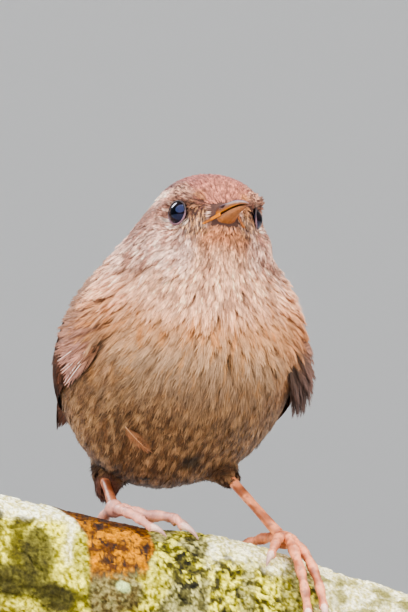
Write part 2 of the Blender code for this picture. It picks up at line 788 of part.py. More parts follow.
def make_tail(parts, cutters):
    """Twelve tail feathers fanned in pairs under the middle two, with coverts above and below."""
    pieces = working_collection("tail pieces")
    bm = bmesh.new()
    bmesh.ops.create_uvsphere(bm, u_segments=20, v_segments=12, radius=1.0)
    rise = math.radians(TAIL_RISE)
    for v in bm.verts:
        x, y, z = v.co
        point, out = tail_sheet(6.0 + 7.5 * x, 4.6 * y, 0.0)
        v.co = Vector((point + out * 2.3 * z) * MM)
    new_object("core", bm, pieces)
    for i in range(6):
        for side in (-1, 1):
            spread = math.radians(1.6 + 3.1 * i)
            length = TAIL_LENGTH - 0.16 * i**2 - 0.3 * i
            root = (2.0, side * (0.6 + 0.35 * i))
            tip = (2.0 + length * math.cos(spread), side * (0.9 + length * math.sin(spread) * 0.82))
            vane("rectrix", tail_sheet, root, tip, 5.4, 0.5 - 0.12 * i, 0.45 - 0.30 * i - 0.05 * side,
                 pieces, -0.35 * side, 0.3 * side)
    for i in range(4):
        b = (i - 1.5) * 2.4
        vane("upper_covert", tail_sheet, (2.0, b * 0.6), (15.0 - 0.5 * abs(b), b * 1.05), 3.6,
             1.6 - 0.1 * abs(b), 1.75 - 0.12 * abs(b), pieces)
        vane("under_covert", tail_sheet, (2.0, b * 0.6), (14.0 - 0.5 * abs(b), b * 1.05), 3.6,
             -1.6, -2.2 + 0.05 * abs(b), pieces)
    tail = join("tail", pieces, parts)
    cut_clear_of_body(tail, cutters)
    return painted(tail, RUFOUS, 0.8)


# The legs: for each side the heel, the foot, and the cone of feathers on the thigh, in the world


LEGS = {
    "right": {
        "heel": np.array([-17.6, 6.0, 74.2]),
        "foot": np.array([-14.7, -8.8, 65.6]),
        "thigh": ((-12.5, 4.0, 85.0), (-14.2, 3.5, 79.0), (-15.6, 2.6, 73.0), (-16.2, 1.0, 69.2)),
        "thigh_radii": (4.6, 5.2, 3.1, 1.8),
    },
    "left": {
        "heel": np.array([2.6, -1.6, 73.0]),
        "foot": np.array([13.2, -9.0, 60.4]),
        "thigh": ((-1.0, 2.0, 82.0), (0.2, 1.0, 78.0), (1.9, -0.8, 74.2), (4.2, -2.6, 71.2)),
        "thigh_radii": (3.4, 4.2, 3.2, 1.8),
    },
}
# Each toe as points on the branch: x, angle in degrees from the top, and height over the bark
TOES = {
    "right": (
        ("hind", ((-15.6, -12.0, 0.9), (-17.4, -34.0, 0.25), (-18.4, -56.0, 0.1)), 4.6),
        ("inner", ((-13.2, 12.0, 1.0), (-11.2, 24.0, 1.1), (-8.4, 31.0, 0.15)), 3.4),
        ("middle", ((-12.6, 6.0, 1.2), (-9.4, 10.0, 1.0), (-5.2, 16.0, 1.3), (-3.4, 22.0, 0.3)), 4.2),
        ("outer", ((-12.8, -2.0, 1.1), (-9.8, -3.0, 0.5), (-6.2, -2.0, 0.9), (-4.6, 2.0, 0.2)), 3.6),
    ),
    "left": (
        ("hind", ((11.0, -6.0, 1.2), (8.2, -17.0, 0.6), (5.6, -26.0, 0.1)), 5.0),
        ("inner", ((12.4, 16.0, 1.6), (11.8, 26.0, 1.5), (10.9, 37.0, 0.3)), 3.2),
        ("middle", ((13.9, 16.0, 1.8), (15.2, 36.0, 0.8), (16.2, 56.0, 0.4), (16.8, 74.0, 0.1)), 4.4),
        ("outer", ((14.6, 12.0, 1.6), (17.0, 30.0, 0.9), (18.6, 50.0, 0.3), (19.4, 68.0, 0.1)), 3.8),
    ),
}


def toe_route(toe, start):
    """The middle line of a toe from the foot to its last joint, above the bark by its own radius."""
    _, stops, _ = toe
    points = [start] + [on_perch(x, a, TOE_RADIUS + GAP + 0.1 + lift) for x, a, lift in stops]
    return smooth_path(points, 3 * len(points) - 2)


def toe_radii(count, size):
    """A toe's radius along it: it swells at each joint and narrows to the claw."""
    t = np.linspace(0, 1, count)
    return size * (1.12 - 0.32 * t) * (1 + 0.10 * np.cos(t * 2 * math.pi * 3))


def claw(name, route, length, collection):
    """A curved claw that carries on from a toe's end and bends into the bark's plane."""
    end = route[-1]
    way = route[-1] - route[-3]
    way /= np.linalg.norm(way)
    axis_point = perch_axis(end[0])
    down = axis_point - end
    down -= way * (down @ way)
    down /= np.linalg.norm(down)
    count = 7
    bend = math.radians(62)
    radius = length / bend
    start = end + way * GAP
    arch = math.radians(-34)
    path = []
    for t in np.linspace(0, 1, count):
        a0, a1 = arch, arch + bend * t
        along = radius * (math.sin(a1) - math.sin(a0))
        drop = radius * (math.cos(a0) - math.cos(a1))
        path.append(start + way * along + down * drop)
    path = np.array(path)
    for _ in range(8):
        for i, p in enumerate(path):
            middle = perch_axis(p[0])
            out = p - middle
            out[0] = 0.0
            high = np.linalg.norm(out)
            angle = math.atan2(-out[1], out[2])
            need = perch_radius(p[0], angle) + GAP + 0.15 + 0.42 * (1 - i / count)
            if high < need:
                path[i] = p + out / high * (need - high)
    radii = [0.50 * (1 - t) ** 0.8 + 0.10 for t in np.linspace(0, 1, count)]
    return tube(name, path, radii, collection, 1)


def make_leg(which, torso, parts, cutters):
    leg = LEGS[which]
    heel, foot = leg["heel"], leg["foot"]
    shin = (foot - heel) / np.linalg.norm(foot - heel)
    path = [
        heel - shin * 0.8,
        heel + shin * 0.8,
        heel + shin * 3.2,
        heel * 0.45 + foot * 0.55,
        foot - shin * 3.4,
        foot - shin * (FOOT_RADIUS + GAP),
    ]
    radii = [
        HEEL_RADIUS,
        HEEL_RADIUS,
        TARSUS_RADIUS * 1.1,
        TARSUS_RADIUS,
        TARSUS_RADIUS * 1.15,
        TARSUS_RADIUS * 1.4,
    ]
    path = smooth_path(path, 11)
    radii = np.interp(np.linspace(0, 5, 11), range(6), radii)
    tarsus = tube("tarsus_" + which, path, radii, parts)
    thigh_path = smooth_path(leg["thigh"], 9)
    thigh_radii = np.interp(np.linspace(0, 3, 9), range(4), leg["thigh_radii"])
    thigh = tube("thigh_" + which, thigh_path, thigh_radii, parts, 4)
    boolean(thigh, tube("socket", path, radii + GAP, cutters), "DIFFERENCE", "MANIFOLD")
    keep_largest(thigh)
    boolean(torso, tube("socket", thigh_path, thigh_radii + GAP, cutters, 4), "DIFFERENCE", "MANIFOLD")
    boolean(torso, tube("socket", path, radii + GAP, cutters), "DIFFERENCE", "MANIFOLD")
    keep_largest(torso)
    painted(thigh, BUFF, 0.85)
    pieces = working_collection("foot pieces")
    bm = bmesh.new()
    bmesh.ops.create_uvsphere(bm, u_segments=14, v_segments=10, radius=FOOT_RADIUS * MM)
    bmesh.ops.translate(bm, verts=bm.verts, vec=Vector(foot * MM))
    new_object("hub", bm, pieces)
    for toe in TOES[which]:
        route = toe_route(toe, foot)
        size = TOE_RADIUS * (1.08 if toe[0] == "hind" else 1.0)
        tube("toe", route, toe_radii(len(route), size), pieces, 1)
        painted(claw("claw_%s_%s" % (which, toe[0]), route, toe[2], parts), HORN, 0.35)
    foot_node = join("foot_" + which, pieces, parts)
    boolean(foot_node, tube("ankle", path, radii + GAP, cutters), "DIFFERENCE", "MANIFOLD")
    keep_largest(foot_node)
    painted(foot_node, LEG, 0.5)
    painted(tarsus, LEG, 0.5)


def main():
    clear_scene()
    parts = working_collection("wren")
    cutters = working_collection("cutters")
    make_stand(parts, cutters)
    make_perch(parts, cutters)
    torso = make_torso(parts)
    make_neck(parts)
    make_head(parts, cutters)
    make_bill(parts, cutters)
    for side, name in ((-1, "eye_right"), (1, "eye_left")):
        painted(eyeball(name, side, 0.0, parts), BLACK, 0.05)
    for side in (-1, 1):
        make_wing(side, parts, cutters)
    make_tail(parts, cutters)
    for which in ("right", "left"):
        make_leg(which, torso, parts, cutters)


if __name__ == "__main__":
    main()
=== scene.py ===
"""The visual model of the wren: one skin under a coat of feathers, with eyes, bill, feet, perch and stand.

Sizes are in millimetres until a mesh is made. The bird's own frames and named sizes are those of part.py.
"""

import itertools
import json
import math

import bmesh
import bpy
import numpy as np
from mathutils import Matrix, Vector, kdtree

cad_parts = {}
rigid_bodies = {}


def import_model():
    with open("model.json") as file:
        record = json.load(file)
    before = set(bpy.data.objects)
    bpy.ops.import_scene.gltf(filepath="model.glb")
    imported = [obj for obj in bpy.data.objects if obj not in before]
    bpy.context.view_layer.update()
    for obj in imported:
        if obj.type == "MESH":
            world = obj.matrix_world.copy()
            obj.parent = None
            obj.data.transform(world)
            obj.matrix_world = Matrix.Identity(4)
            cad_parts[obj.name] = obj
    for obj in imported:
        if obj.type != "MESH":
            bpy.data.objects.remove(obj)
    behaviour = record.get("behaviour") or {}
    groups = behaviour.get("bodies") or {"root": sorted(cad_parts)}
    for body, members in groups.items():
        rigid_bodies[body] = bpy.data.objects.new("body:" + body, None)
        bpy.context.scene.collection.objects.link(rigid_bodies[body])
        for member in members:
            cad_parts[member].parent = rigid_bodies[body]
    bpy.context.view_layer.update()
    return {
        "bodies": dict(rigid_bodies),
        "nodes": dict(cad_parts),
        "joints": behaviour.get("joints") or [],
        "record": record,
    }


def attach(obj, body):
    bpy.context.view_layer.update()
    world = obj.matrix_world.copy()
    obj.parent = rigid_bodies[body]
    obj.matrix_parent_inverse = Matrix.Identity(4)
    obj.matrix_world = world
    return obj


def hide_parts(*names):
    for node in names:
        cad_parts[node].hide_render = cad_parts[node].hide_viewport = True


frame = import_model()

# Metres in a millimetre, the gap between toes and bark, and the draws that all feathers share
MM = 0.001
GAP = 0.3
RNG = np.random.default_rng(7)

# Where the bird stands, and how its body and head are turned
BIRD_ORIGIN = np.array([-6.6, -8.0, 60.2])
BODY_YAW, BODY_LEAN = 13.0, 5.0
HEAD_YAW, HEAD_PITCH, HEAD_ROLL = 21.0, 8.0, 2.5
EYES_MIDDLE = (19.0, 0.0, 51.9)

# The middles of head and body, and the painted shadow before the vent, each in its own frame
HEAD_MIDDLE = np.array([-4.0, 0.0, -1.0])
BODY_MIDDLE = np.array([-3.0, 0.0, 28.0])
VENT_SHADOW_SPOT = (2.9, 2.7, 12.9)

# The skin's cell size, how many roots are tried on it, and the stations along each of its feathers
SKIN_VOXEL = 0.42
MOST_TRIES = 110000
COAT_STATIONS = 6

PERCH_HALF_LENGTH = 52.0
PERCH_MIDDLE = np.array([0.0, -8.0, 47.45])
PERCH_DROP, PERCH_SWING, PERCH_BOW = 12.2, 5.0, 0.95
PERCH_RADIUS_HIGH, PERCH_RADIUS_LOW = 13.2, 12.0
BARK_DEPTH = 0.45
END_HOLLOW = 0.25

EYE_RADIUS = 2.3
EYE_OPENING = 1.85
EYE_SIDE = 6.85
EYE_TURN = 66.0
GAPE = (1.7, 5.2, -2.9)
MOUTH_AT_BILL = (4.6, -1.2)
BILL_BASE = (3.6, 0.0, -0.8)
NOSTRIL = (5.6, -0.02)

TARSUS_RADIUS = 0.78
HEEL_RADIUS = 1.25
TOE_RADIUS = 0.72

WING_BEND = (11.5, 27.0)
WING_DROOP = 12.0
WING_DEPTH = 16.0
WING_CLEARANCE = 0.55

TAIL_ROOT = (-22.5, 25.5)
TAIL_RISE = 38.0
TAIL_LENGTH = 33.0


def axes(yaw, pitch=0.0, roll=0.0):
    """Rows: forward, left and up in the world, for a body that faces -Y before it is turned."""
    y, p, r = (math.radians(a) for a in (yaw, pitch, roll))
    forward = np.array([math.sin(y) * math.cos(p), -math.cos(y) * math.cos(p), math.sin(p)])
    left = np.array([math.cos(y), math.sin(y), 0.0])
    up = np.cross(forward, left) * -1.0
    up = up if up[2] > 0 else -up
    return np.stack([forward, left * math.cos(r) - up * math.sin(r), up * math.cos(r) + left * math.sin(r)])


def pitched(frame, degrees):
    """The frame with its forward axis raised by some degrees."""
    a = math.radians(degrees)
    turn = np.array([[math.cos(a), 0, math.sin(a)], [0, 1, 0], [-math.sin(a), 0, math.cos(a)]])
    return turn @ frame


BODY = axes(BODY_YAW, 0.0, BODY_LEAN)
HEAD = axes(HEAD_YAW, HEAD_PITCH, HEAD_ROLL)
HEAD_ORIGIN = BIRD_ORIGIN + np.array(EYES_MIDDLE) @ BODY


def from_body(point):
    return BIRD_ORIGIN + np.asarray(point, float) @ BODY


def from_head(point):
    return HEAD_ORIGIN + np.asarray(point, float) @ HEAD


def in_body(world):
    return (world - BIRD_ORIGIN) @ BODY.T


def in_head(world):
    return (world - HEAD_ORIGIN) @ HEAD.T


# Each mass of the plumage: its frame, middle, half sizes, pitch in degrees, and how softly it blends in
MASSES = (
    ("belly", "body", (-3.5, 0.0, 27.9), (20.5, 18.8, 15.6), 38.0, 0.0),
    ("breast", "body", (7.0, 1.4, 32.9), (14.0, 15.4, 14.2), 60.0, 8.0),
    ("mantle", "body", (-4.0, 0.4, 35.2), (15.0, 12.8, 8.0), 42.0, 7.0),
    ("neck", "body", (11.0, -1.2, 45.0), (9.6, 11.7, 10.8), 70.0, 7.0),
    ("underbelly", "body", (-7.0, -1.5, 19.7), (11.0, 11.8, 9.5), 0.0, 3.0),
    ("rump", "body", (-18.5, 0.0, 22.5), (10.0, 9.0, 7.6), -22.0, 8.0),
    ("skull", "head", (-5.2, 0.0, 0.0), (9.0, 8.4, 7.6), -8.0, 4.5),
    ("crown", "head", (-5.0, 1.0, 2.7), (7.9, 8.2, 5.2), -4.0, 2.0),
    ("right_cheek", "head", (-5.0, -6.2, -5.0), (6.4, 4.5, 4.8), 30.0, 4.0),
    ("left_cheek", "head", (-4.0, 5.8, -4.8), (6.0, 4.3, 4.2), 20.0, 3.0),
)
# The hollow around each eye: how far ahead its middle is, its radius, and how softly it blends in
EYE_HOLLOW = (2.0, 2.8, 0.8)
# The cone of the face: its two ends in the head's frame, their radii, and how softly it blends in
FACE = ((-2.6, 0.0, -1.4), (3.2, 0.0, -0.75), 5.0, 1.75, 3.0)

LEGS = {
    "right": {
        "heel": np.array([-17.6, 6.0, 74.2]),
        "foot": np.array([-14.7, -8.8, 65.6]),
        "thigh": ((-12.5, 4.0, 85.0), (-14.2, 3.5, 79.0), (-15.6, 2.6, 73.0), (-16.2, 1.0, 69.2)),
        "thigh_radii": (4.6, 5.2, 3.1, 1.8),
    },
    "left": {
        "heel": np.array([2.6, -1.6, 73.0]),
        "foot": np.array([13.2, -9.0, 60.4]),
        "thigh": ((-1.0, 2.0, 82.0), (0.2, 1.0, 78.0), (1.9, -0.8, 74.2), (4.2, -2.6, 71.2)),
        "thigh_radii": (3.4, 4.2, 3.2, 1.8),
    },
}
# Each toe: its stops along the perch (place, degrees round it, lift), and its claw's length
TOES = {
    "right": (
        ("hind", ((-15.6, -12.0, 0.9), (-17.4, -34.0, 0.25), (-18.4, -56.0, 0.1)), 4.6),
        ("inner", ((-13.2, 12.0, 1.0), (-11.2, 24.0, 1.1), (-8.4, 31.0, 0.15)), 3.4),
        ("middle", ((-12.6, 6.0, 1.2), (-9.4, 10.0, 1.0), (-5.2, 16.0, 1.3), (-3.4, 22.0, 0.3)), 4.2),
        ("outer", ((-12.8, -2.0, 1.1), (-9.8, -3.0, 0.5), (-6.2, -2.0, 0.9), (-4.6, 2.0, 0.2)), 3.6),
    ),
    "left": (
        ("hind", ((11.0, -6.0, 1.2), (8.2, -17.0, 0.6), (5.6, -26.0, 0.1)), 5.0),
        ("inner", ((12.4, 16.0, 1.6), (11.8, 26.0, 1.5), (10.9, 37.0, 0.3)), 3.2),
        ("middle", ((13.9, 16.0, 1.8), (15.2, 36.0, 0.8), (16.2, 56.0, 0.4), (16.8, 74.0, 0.1)), 4.4),
        ("outer", ((14.6, 12.0, 1.6), (17.0, 30.0, 0.9), (18.6, 50.0, 0.3), (19.4, 68.0, 0.1)), 3.8),
    ),
}


def lid_frame(side):
    """The middle of an eye's opening in the world, and the way that it looks. Side is -1 on the right."""
    turn = math.radians(EYE_TURN)
    look = np.array([math.cos(turn), side * math.sin(turn), 0.0]) @ HEAD
    return from_head((0.0, side * EYE_SIDE, 0.0)), look


def ellipsoid_distance(points, centre, half, frame):
    q = (points - centre) @ frame.T
    half = np.asarray(half)
    near = np.linalg.norm(q / half, axis=1)
    slope = np.linalg.norm(q / half**2, axis=1)
    return near * (near - 1.0) / np.maximum(slope, 1e-9)


def cone_distance(points, start, end, start_radius, end_radius):
    along = end - start
    t = np.clip((points - start) @ along / (along @ along), 0.0, 1.0)
    nearest = start + t[:, None] * along
    return np.linalg.norm(points - nearest, axis=1) - (start_radius + (end_radius - start_radius) * t)


def blended(a, b, softness):
    overlap = np.maximum(softness - np.abs(a - b), 0.0) / softness
    return np.minimum(a, b) - overlap**2 * softness * 0.25


def plumage(points):
    """About the distance in millimetres from the outline of head, neck and torso, negative inside."""
    distance = None
    for _, frame_name, centre, half, pitch, softness in MASSES:
        place, turned = (from_body, BODY) if frame_name == "body" else (from_head, HEAD)
        one = ellipsoid_distance(points, place(centre), half, pitched(turned, pitch))
        distance = one if distance is None else blended(distance, one, softness)
    start, end, start_radius, end_radius, softness = FACE
    face = cone_distance(points, from_head(start), from_head(end), start_radius, end_radius)
    distance = blended(distance, face, softness)
    ahead, radius, softness = EYE_HOLLOW
    for side in (-1, 1):
        opening, look = lid_frame(side)
        ball = np.linalg.norm(points - opening - look * ahead, axis=1) - radius
        distance = -blended(-distance, ball, softness)
    return distance


def coat_outline(points):
    """The plumage with the feathered thighs blended in."""
    distance = plumage(points)
    for leg in LEGS.values():
        path, radii = np.array(leg["thigh"]), leg["thigh_radii"]
        for i in range(3):
            cone = cone_distance(points, path[i], path[i + 1], radii[i], radii[i + 1])
            distance = blended(distance, cone, 1.2)
    return distance


def steepest(points, field=coat_outline):
    """The unit direction in which a field's distance grows fastest."""
    step = 0.05
    slope = [field(points + step * way) - field(points - step * way) for way in np.eye(3)]
    slope = np.stack(slope, -1)
    return slope / np.linalg.norm(slope, axis=1, keepdims=True)


def unit(v):
    return v / np.maximum(np.linalg.norm(v, axis=-1, keepdims=True), 1e-9)


def ramp(x, low, high):
    t = np.clip((np.asarray(x, float) - low) / (high - low), 0.0, 1.0)
    return t * t * (3 - 2 * t)


TURN = axes(33.0, 21.0, 14.0)


def noise(points, size, seed=0, stretch=(1.0, 1.0, 1.0)):
    """Smooth noise from 0 to 1, with features of about this size in millimetres, finer where stretched."""
    q = np.asarray(points, float) * stretch @ TURN / size + seed * 17.13 + 300.0
    cell = np.floor(q).astype(np.int64)
    f = q - cell
    f = f * f * (3 - 2 * f)
    total = 0.0
    for corner in range(8):
        d = np.array([corner & 1, corner >> 1 & 1, corner >> 2 & 1])
        h = (cell + d) @ np.array([374761393, 668265263, 1440662683]) + seed * 974634777
        h = (h ^ (h >> 13)) * 1274126177
        h = (h ^ (h >> 16)) & 0xFFFF
        weight = np.prod(np.where(d == 1, f, 1 - f), axis=-1)
        total = total + weight * h / 65535.0
    return total


def mottle(points, size, seed=0):
    """Two octaves of noise."""
    return 0.62 * noise(points, size, seed) + 0.38 * noise(points, size / 2.3, seed + 40)


def srgb(r, g, b):
    """A colour named by its 0 to 255 screen values, as the linear values that a shader takes."""
    c = np.array([r, g, b]) / 255.0
    return np.where(c <= 0.04045, c / 12.92, ((c + 0.055) / 1.055) ** 2.4)


def mixed(a, b, t):
    t = np.asarray(t)[..., None]
    return a * (1 - t) + b * t


def apart(points, place, weights=1.0):
    """The distance of each point from a place, with its axes weighted."""
    return np.linalg.norm((points - np.asarray(place)) * weights, axis=-1)


def hump(x, middle, width):
    """1 at the middle, and about a third of that one width away."""
    return np.exp(-(((x - middle) / width) ** 2))


def linked(name, data):
    """A new object in the scene that holds this data."""
    obj = bpy.data.objects.new(name, data)
    bpy.context.scene.collection.objects.link(obj)
    return obj


def set_tint(mesh, tint):
    """Stores a colour at each point of a mesh."""
    layer = mesh.attributes.new("tint", "FLOAT_COLOR", "POINT")
    rgba = np.concatenate([np.clip(tint, 0, 1), np.ones((len(tint), 1))], 1)
    layer.data.foreach_set("color", rgba.astype(np.float32).ravel())


def points_of(mesh):
    """A mesh's points in millimetres."""
    points = np.empty(len(mesh.vertices) * 3, np.float32)
    mesh.vertices.foreach_get("co", points)
    return points.reshape(-1, 3).astype(float) / MM


def array_object(name, points, triangles, tint=None, uv=None):
    """A mesh object from arrays: points in millimetres, triangles, a colour a point, and OFBake places."""
    mesh = bpy.data.meshes.new(name)
    mesh.vertices.add(len(points))
    mesh.vertices.foreach_set("co", (points * MM).astype(np.float32).ravel())
    mesh.loops.add(triangles.size)
    mesh.loops.foreach_set("vertex_index", triangles.astype(np.int32).ravel())
    mesh.polygons.add(len(triangles))
    mesh.polygons.foreach_set("loop_start", np.arange(0, triangles.size, 3, dtype=np.int32))
    mesh.update(calc_edges=True)
    mesh.shade_smooth()
    if tint is not None:
        set_tint(mesh, tint)
    if uv is not None:
        layer = mesh.uv_layers.new(name="OFBake")
        layer.data.foreach_set("uv", uv[triangles.ravel()].astype(np.float32).ravel())
    return linked(name, mesh)


def surface(name, roughness, base=(0.5, 0.5, 0.5), metallic=0.0):
    """A new material, its nodes, links and Principled node."""
    material = bpy.data.materials.new(name)
    material.use_nodes = True
    nodes, links = material.node_tree.nodes, material.node_tree.links
    shader = nodes["Principled BSDF"]
    shader.inputs["Base Color"].default_value = (*base, 1.0)
    shader.inputs["Roughness"].default_value = roughness
    shader.inputs["Metallic"].default_value = metallic
    return material, nodes, links, shader


def add_node(nodes, kind, **settings):
    node = nodes.new(kind)
    for key, value in settings.items():
        if key in node.inputs.keys():
            node.inputs[key].default_value = value
        else:
            setattr(node, key, value)
    return node


def noise_node(nodes, links, scale, detail=4.0, roughness=0.55, stretch=None):
    """Procedural noise over the object's own coordinates. Scale is in features to the metre."""
    place = add_node(nodes, "ShaderNodeTexCoord")
    texture = add_node(nodes, "ShaderNodeTexNoise", Scale=scale, Detail=detail, Roughness=roughness)
    if stretch is None:
        links.new(place.outputs["Object"], texture.inputs["Vector"])
    else:
        mapping = add_node(nodes, "ShaderNodeMapping")
        mapping.inputs["Scale"].default_value = stretch
        links.new(place.outputs["Object"], mapping.inputs["Vector"])
        links.new(mapping.outputs["Vector"], texture.inputs["Vector"])
    return texture


def tinted(name, roughness, scale=900.0, change=0.18, bump=0.0, sheen=0.0, specular=0.3):
    """A material that takes its colour from the points' tint, with fine procedural mottling."""
    material, nodes, links, shader = surface(name, roughness)
    attribute = add_node(nodes, "ShaderNodeAttribute", attribute_name="tint")
    grain = noise_node(nodes, links, scale)
    limits = {"From Min": 0.3, "From Max": 0.7, "To Min": 1.0 - change, "To Max": 1.0 + change}
    reach = add_node(nodes, "ShaderNodeMapRange", **limits)
    links.new(grain.outputs["Fac"], reach.inputs["Value"])
    scaled = add_node(nodes, "ShaderNodeVectorMath", operation="SCALE")
    links.new(attribute.outputs["Color"], scaled.inputs[0])
    links.new(reach.outputs["Result"], scaled.inputs["Scale"])
    links.new(scaled.outputs["Vector"], shader.inputs["Base Color"])
    shader.inputs["Specular IOR Level"].default_value = specular
    shader.inputs["Sheen Weight"].default_value = sheen
    if bump:
        add_bump(nodes, links, grain, shader, 0.5, bump)
    return material


def add_bump(nodes, links, grain, shader, strength, depth):
    """Relief of this depth in millimetres, from a noise node."""
    bump = add_node(nodes, "ShaderNodeBump", Strength=strength, Distance=depth * MM)
    links.new(grain.outputs["Fac"], bump.inputs["Height"])
    links.new(bump.outputs["Normal"], shader.inputs["Normal"])


def dress(obj, material, slot, *replaced):
    """Gives a piece its material, and lets it ride on the part in place of some nodes. The slot is not used.
    """
    obj.data.materials.clear()
    obj.data.materials.append(material)
    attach(obj, "root")
    if replaced:
        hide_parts(*replaced)
    return obj


# The stage: pale floor and wall in one sweep, soft light, and the camera at the photo's angle

TARGET = np.array([0.0, 0.0, 100.0])
CAMERA_RISE = -6.0
CAMERA_DISTANCE = 800.0
FRAME_HEIGHT = 102.0
SENSOR_HEIGHT = 36.0


def make_stage():
    bm = bmesh.new()
    rows = []
    profile = [(-3200.0, 0.0), (1900.0, 0.0)]
    for a in np.linspace(0.1, math.pi / 2, 14):
        profile.append((1900 + 700 * math.sin(a), 700 - 700 * math.cos(a)))
    profile.append((2600.0, 2600.0))
    for y, z in profile:
        rows.append([bm.verts.new((x * MM, y * MM, z * MM)) for x in (-3400.0, 3400.0)])
    for low, high in zip(rows, rows[1:]):
        bm.faces.new((low[0], low[1], high[1], high[0]))
    mesh = bpy.data.meshes.new("backdrop")
    bm.to_mesh(mesh)
    bm.free()
    mesh.shade_smooth()
    material, *_ = surface("backdrop", 0.9, (0.80, 0.79, 0.77))
    mesh.materials.append(material)
    linked("backdrop", mesh)
    for name, place, size, power, colour in (
        ("key", (-380, -820, 880), 1700, 36.0, (0.88, 0.93, 1.0)),
        ("top", (250, -200, 1000), 700, 10.0, (1.0, 0.96, 0.92)),
        ("side", (850, -520, 520), 700, 7.5, (1.0, 0.95, 0.90)),
        ("back", (-500, 520, 700), 400, 6.0, (1.0, 1.0, 1.0)),
    ):
        light = bpy.data.lights.new(name, "AREA")
        light.shape = "DISK"
        light.size = size * MM
        light.energy = power
        light.color = colour
        lamp = linked(name, light)
        lamp.location = Vector(place) * MM
        lamp.rotation_euler = (Vector(TARGET * MM) - lamp.location).to_track_quat("-Z", "Y").to_euler()
    world = bpy.data.worlds.new("studio")
    world.use_nodes = True
    background = world.node_tree.nodes["Background"].inputs
    background["Color"].default_value = (0.92, 0.95, 1.0, 1.0)
    background["Strength"].default_value = 0.30
    bpy.context.scene.world = world
    rise = math.radians(CAMERA_RISE)
    forward = np.array([0.0, math.cos(rise), -math.sin(rise)])
    data = bpy.data.cameras.new("camera")
    data.sensor_fit = "VERTICAL"
    data.sensor_height = SENSOR_HEIGHT
    data.lens = SENSOR_HEIGHT * CAMERA_DISTANCE / FRAME_HEIGHT
    data.clip_start = 0.05
    data.clip_end = 20.0
    camera = linked("camera", data)
    camera.location = Vector((TARGET - forward * CAMERA_DISTANCE) * MM)
    camera.rotation_euler = Vector(forward).to_track_quat("-Z", "Y").to_euler()
    bpy.context.scene.camera = camera
    bpy.context.scene.view_settings.look = "AgX - Medium High Contrast"


# Feathers, built for many roots at once

# A barb's three stations: the share along it, the share of its way outward, and the share of its width
BARB_STATIONS = ((0.0, 0.0, 1.0), (0.5, 0.66, 0.85), (1.0, 1.0, 0.0))

# Half the width of the small place that each feather takes up in the OFBake square
BAKE_HALF = 0.0014


def feather_outline(t, tip):
    """The share of its full half width that a feather has at t along it."""
    t = np.clip(t, 0.0, 1.0)
    rise = 0.35 + 0.65 * ramp(t, 0.0, 0.35)
    fall = np.sqrt(np.clip(1.0 - ((t - tip) / (1.02 - tip)) ** 2, 0.0, 1.0))
    return rise * np.where(t < tip, 1.0, fall)


def along_line(lines, t):
    """Points at t along each polyline. Lines has shape (n, stations, 3), and t has shape (n, m)."""
    last = lines.shape[1] - 1
    x = np.clip(t, 0.0, 1.25) * last
    i = np.minimum(x.astype(int), last - 1)
    f = (x - i)[..., None]
    rows = np.arange(len(lines))[:, None]
    return lines[rows, i] * (1 - f) + lines[rows, i + 1] * f


def feathers(lines, normals, widths, barbs, look, colours, patches, stiff=0.0):
    """Barbs for many feathers: arrays of points, triangles, tints and OFBake places.

    Look holds sweep, barb width, tip share, ruffle and how far the edges sink.
    Colours is a function of (feather indices, t along, side share, place) that gives each point's tint.
    """
    sweep, barb_width, tip, ruffle, sink = look
    count, per = len(lines), 2 * barbs
    sides = np.tile([-1.0, 1.0], barbs)[None, :]
    s = np.repeat((np.arange(barbs) + 0.5) / barbs, 2)[None, :]
    s = s + RNG.uniform(-0.5, 0.5, (count, per)) / barbs
    start = 0.04 + 0.88 * s
    reach = sweep * (1.0 - 0.55 * s) * RNG.uniform(0.8, 1.2, (count, per))
    end = np.minimum(start + reach, 1.0 + 0.12 * RNG.uniform(0, 1, (count, per)) * (1 - stiff))
    across = sides * feather_outline(end, tip) * RNG.uniform(0.6, 1.0, (count, per)) ** (1 - stiff)
    roll = RNG.uniform(-0.35, 0.35, (count, per)) * (1 - 0.7 * stiff)
    lift = RNG.normal(0, ruffle, (count, per))
    half = widths[:, None] / 2
    points, tints, places = [], [], []
    index = np.broadcast_to(np.arange(count)[:, None], (count, per))
    for along, outward, taper in BARB_STATIONS:
        t = start + (end - start) * along
        side = across * outward * half
        middle = along_line(lines, t)
        normal = unit(along_line(normals, t))
        way = unit(along_line(lines, t + 0.06) - along_line(lines, t - 0.06))
        over = unit(np.cross(normal, way))
        share = side / np.maximum(half, 1e-6)
        centre = middle + side[..., None] * over + normal * (lift * along - sink * share**2)[..., None]
        brush = unit(over * np.cos(roll)[..., None] + normal * np.sin(roll)[..., None])
        tint = colours(index, t, share, centre)
        place = patches[:, None, :] + np.stack([share * BAKE_HALF, (t - 0.5) * 2 * BAKE_HALF], -1)
        for way_sign in (-1, 1) if taper else (0,):
            points.append(centre + brush * (barb_width * taper / 2 * way_sign))
            tints.append(tint)
            places.append(place)
    points = np.stack(points, 2).reshape(-1, 3)
    tints = np.stack(tints, 2).reshape(-1, 3)
    places = np.stack(places, 2).reshape(-1, 2)
    base = np.arange(count * per)[:, None, None] * 5
    pattern = np.array([[0, 1, 3], [0, 3, 2], [2, 3, 4]])
    return points, (base + pattern).reshape(-1, 3), tints, places


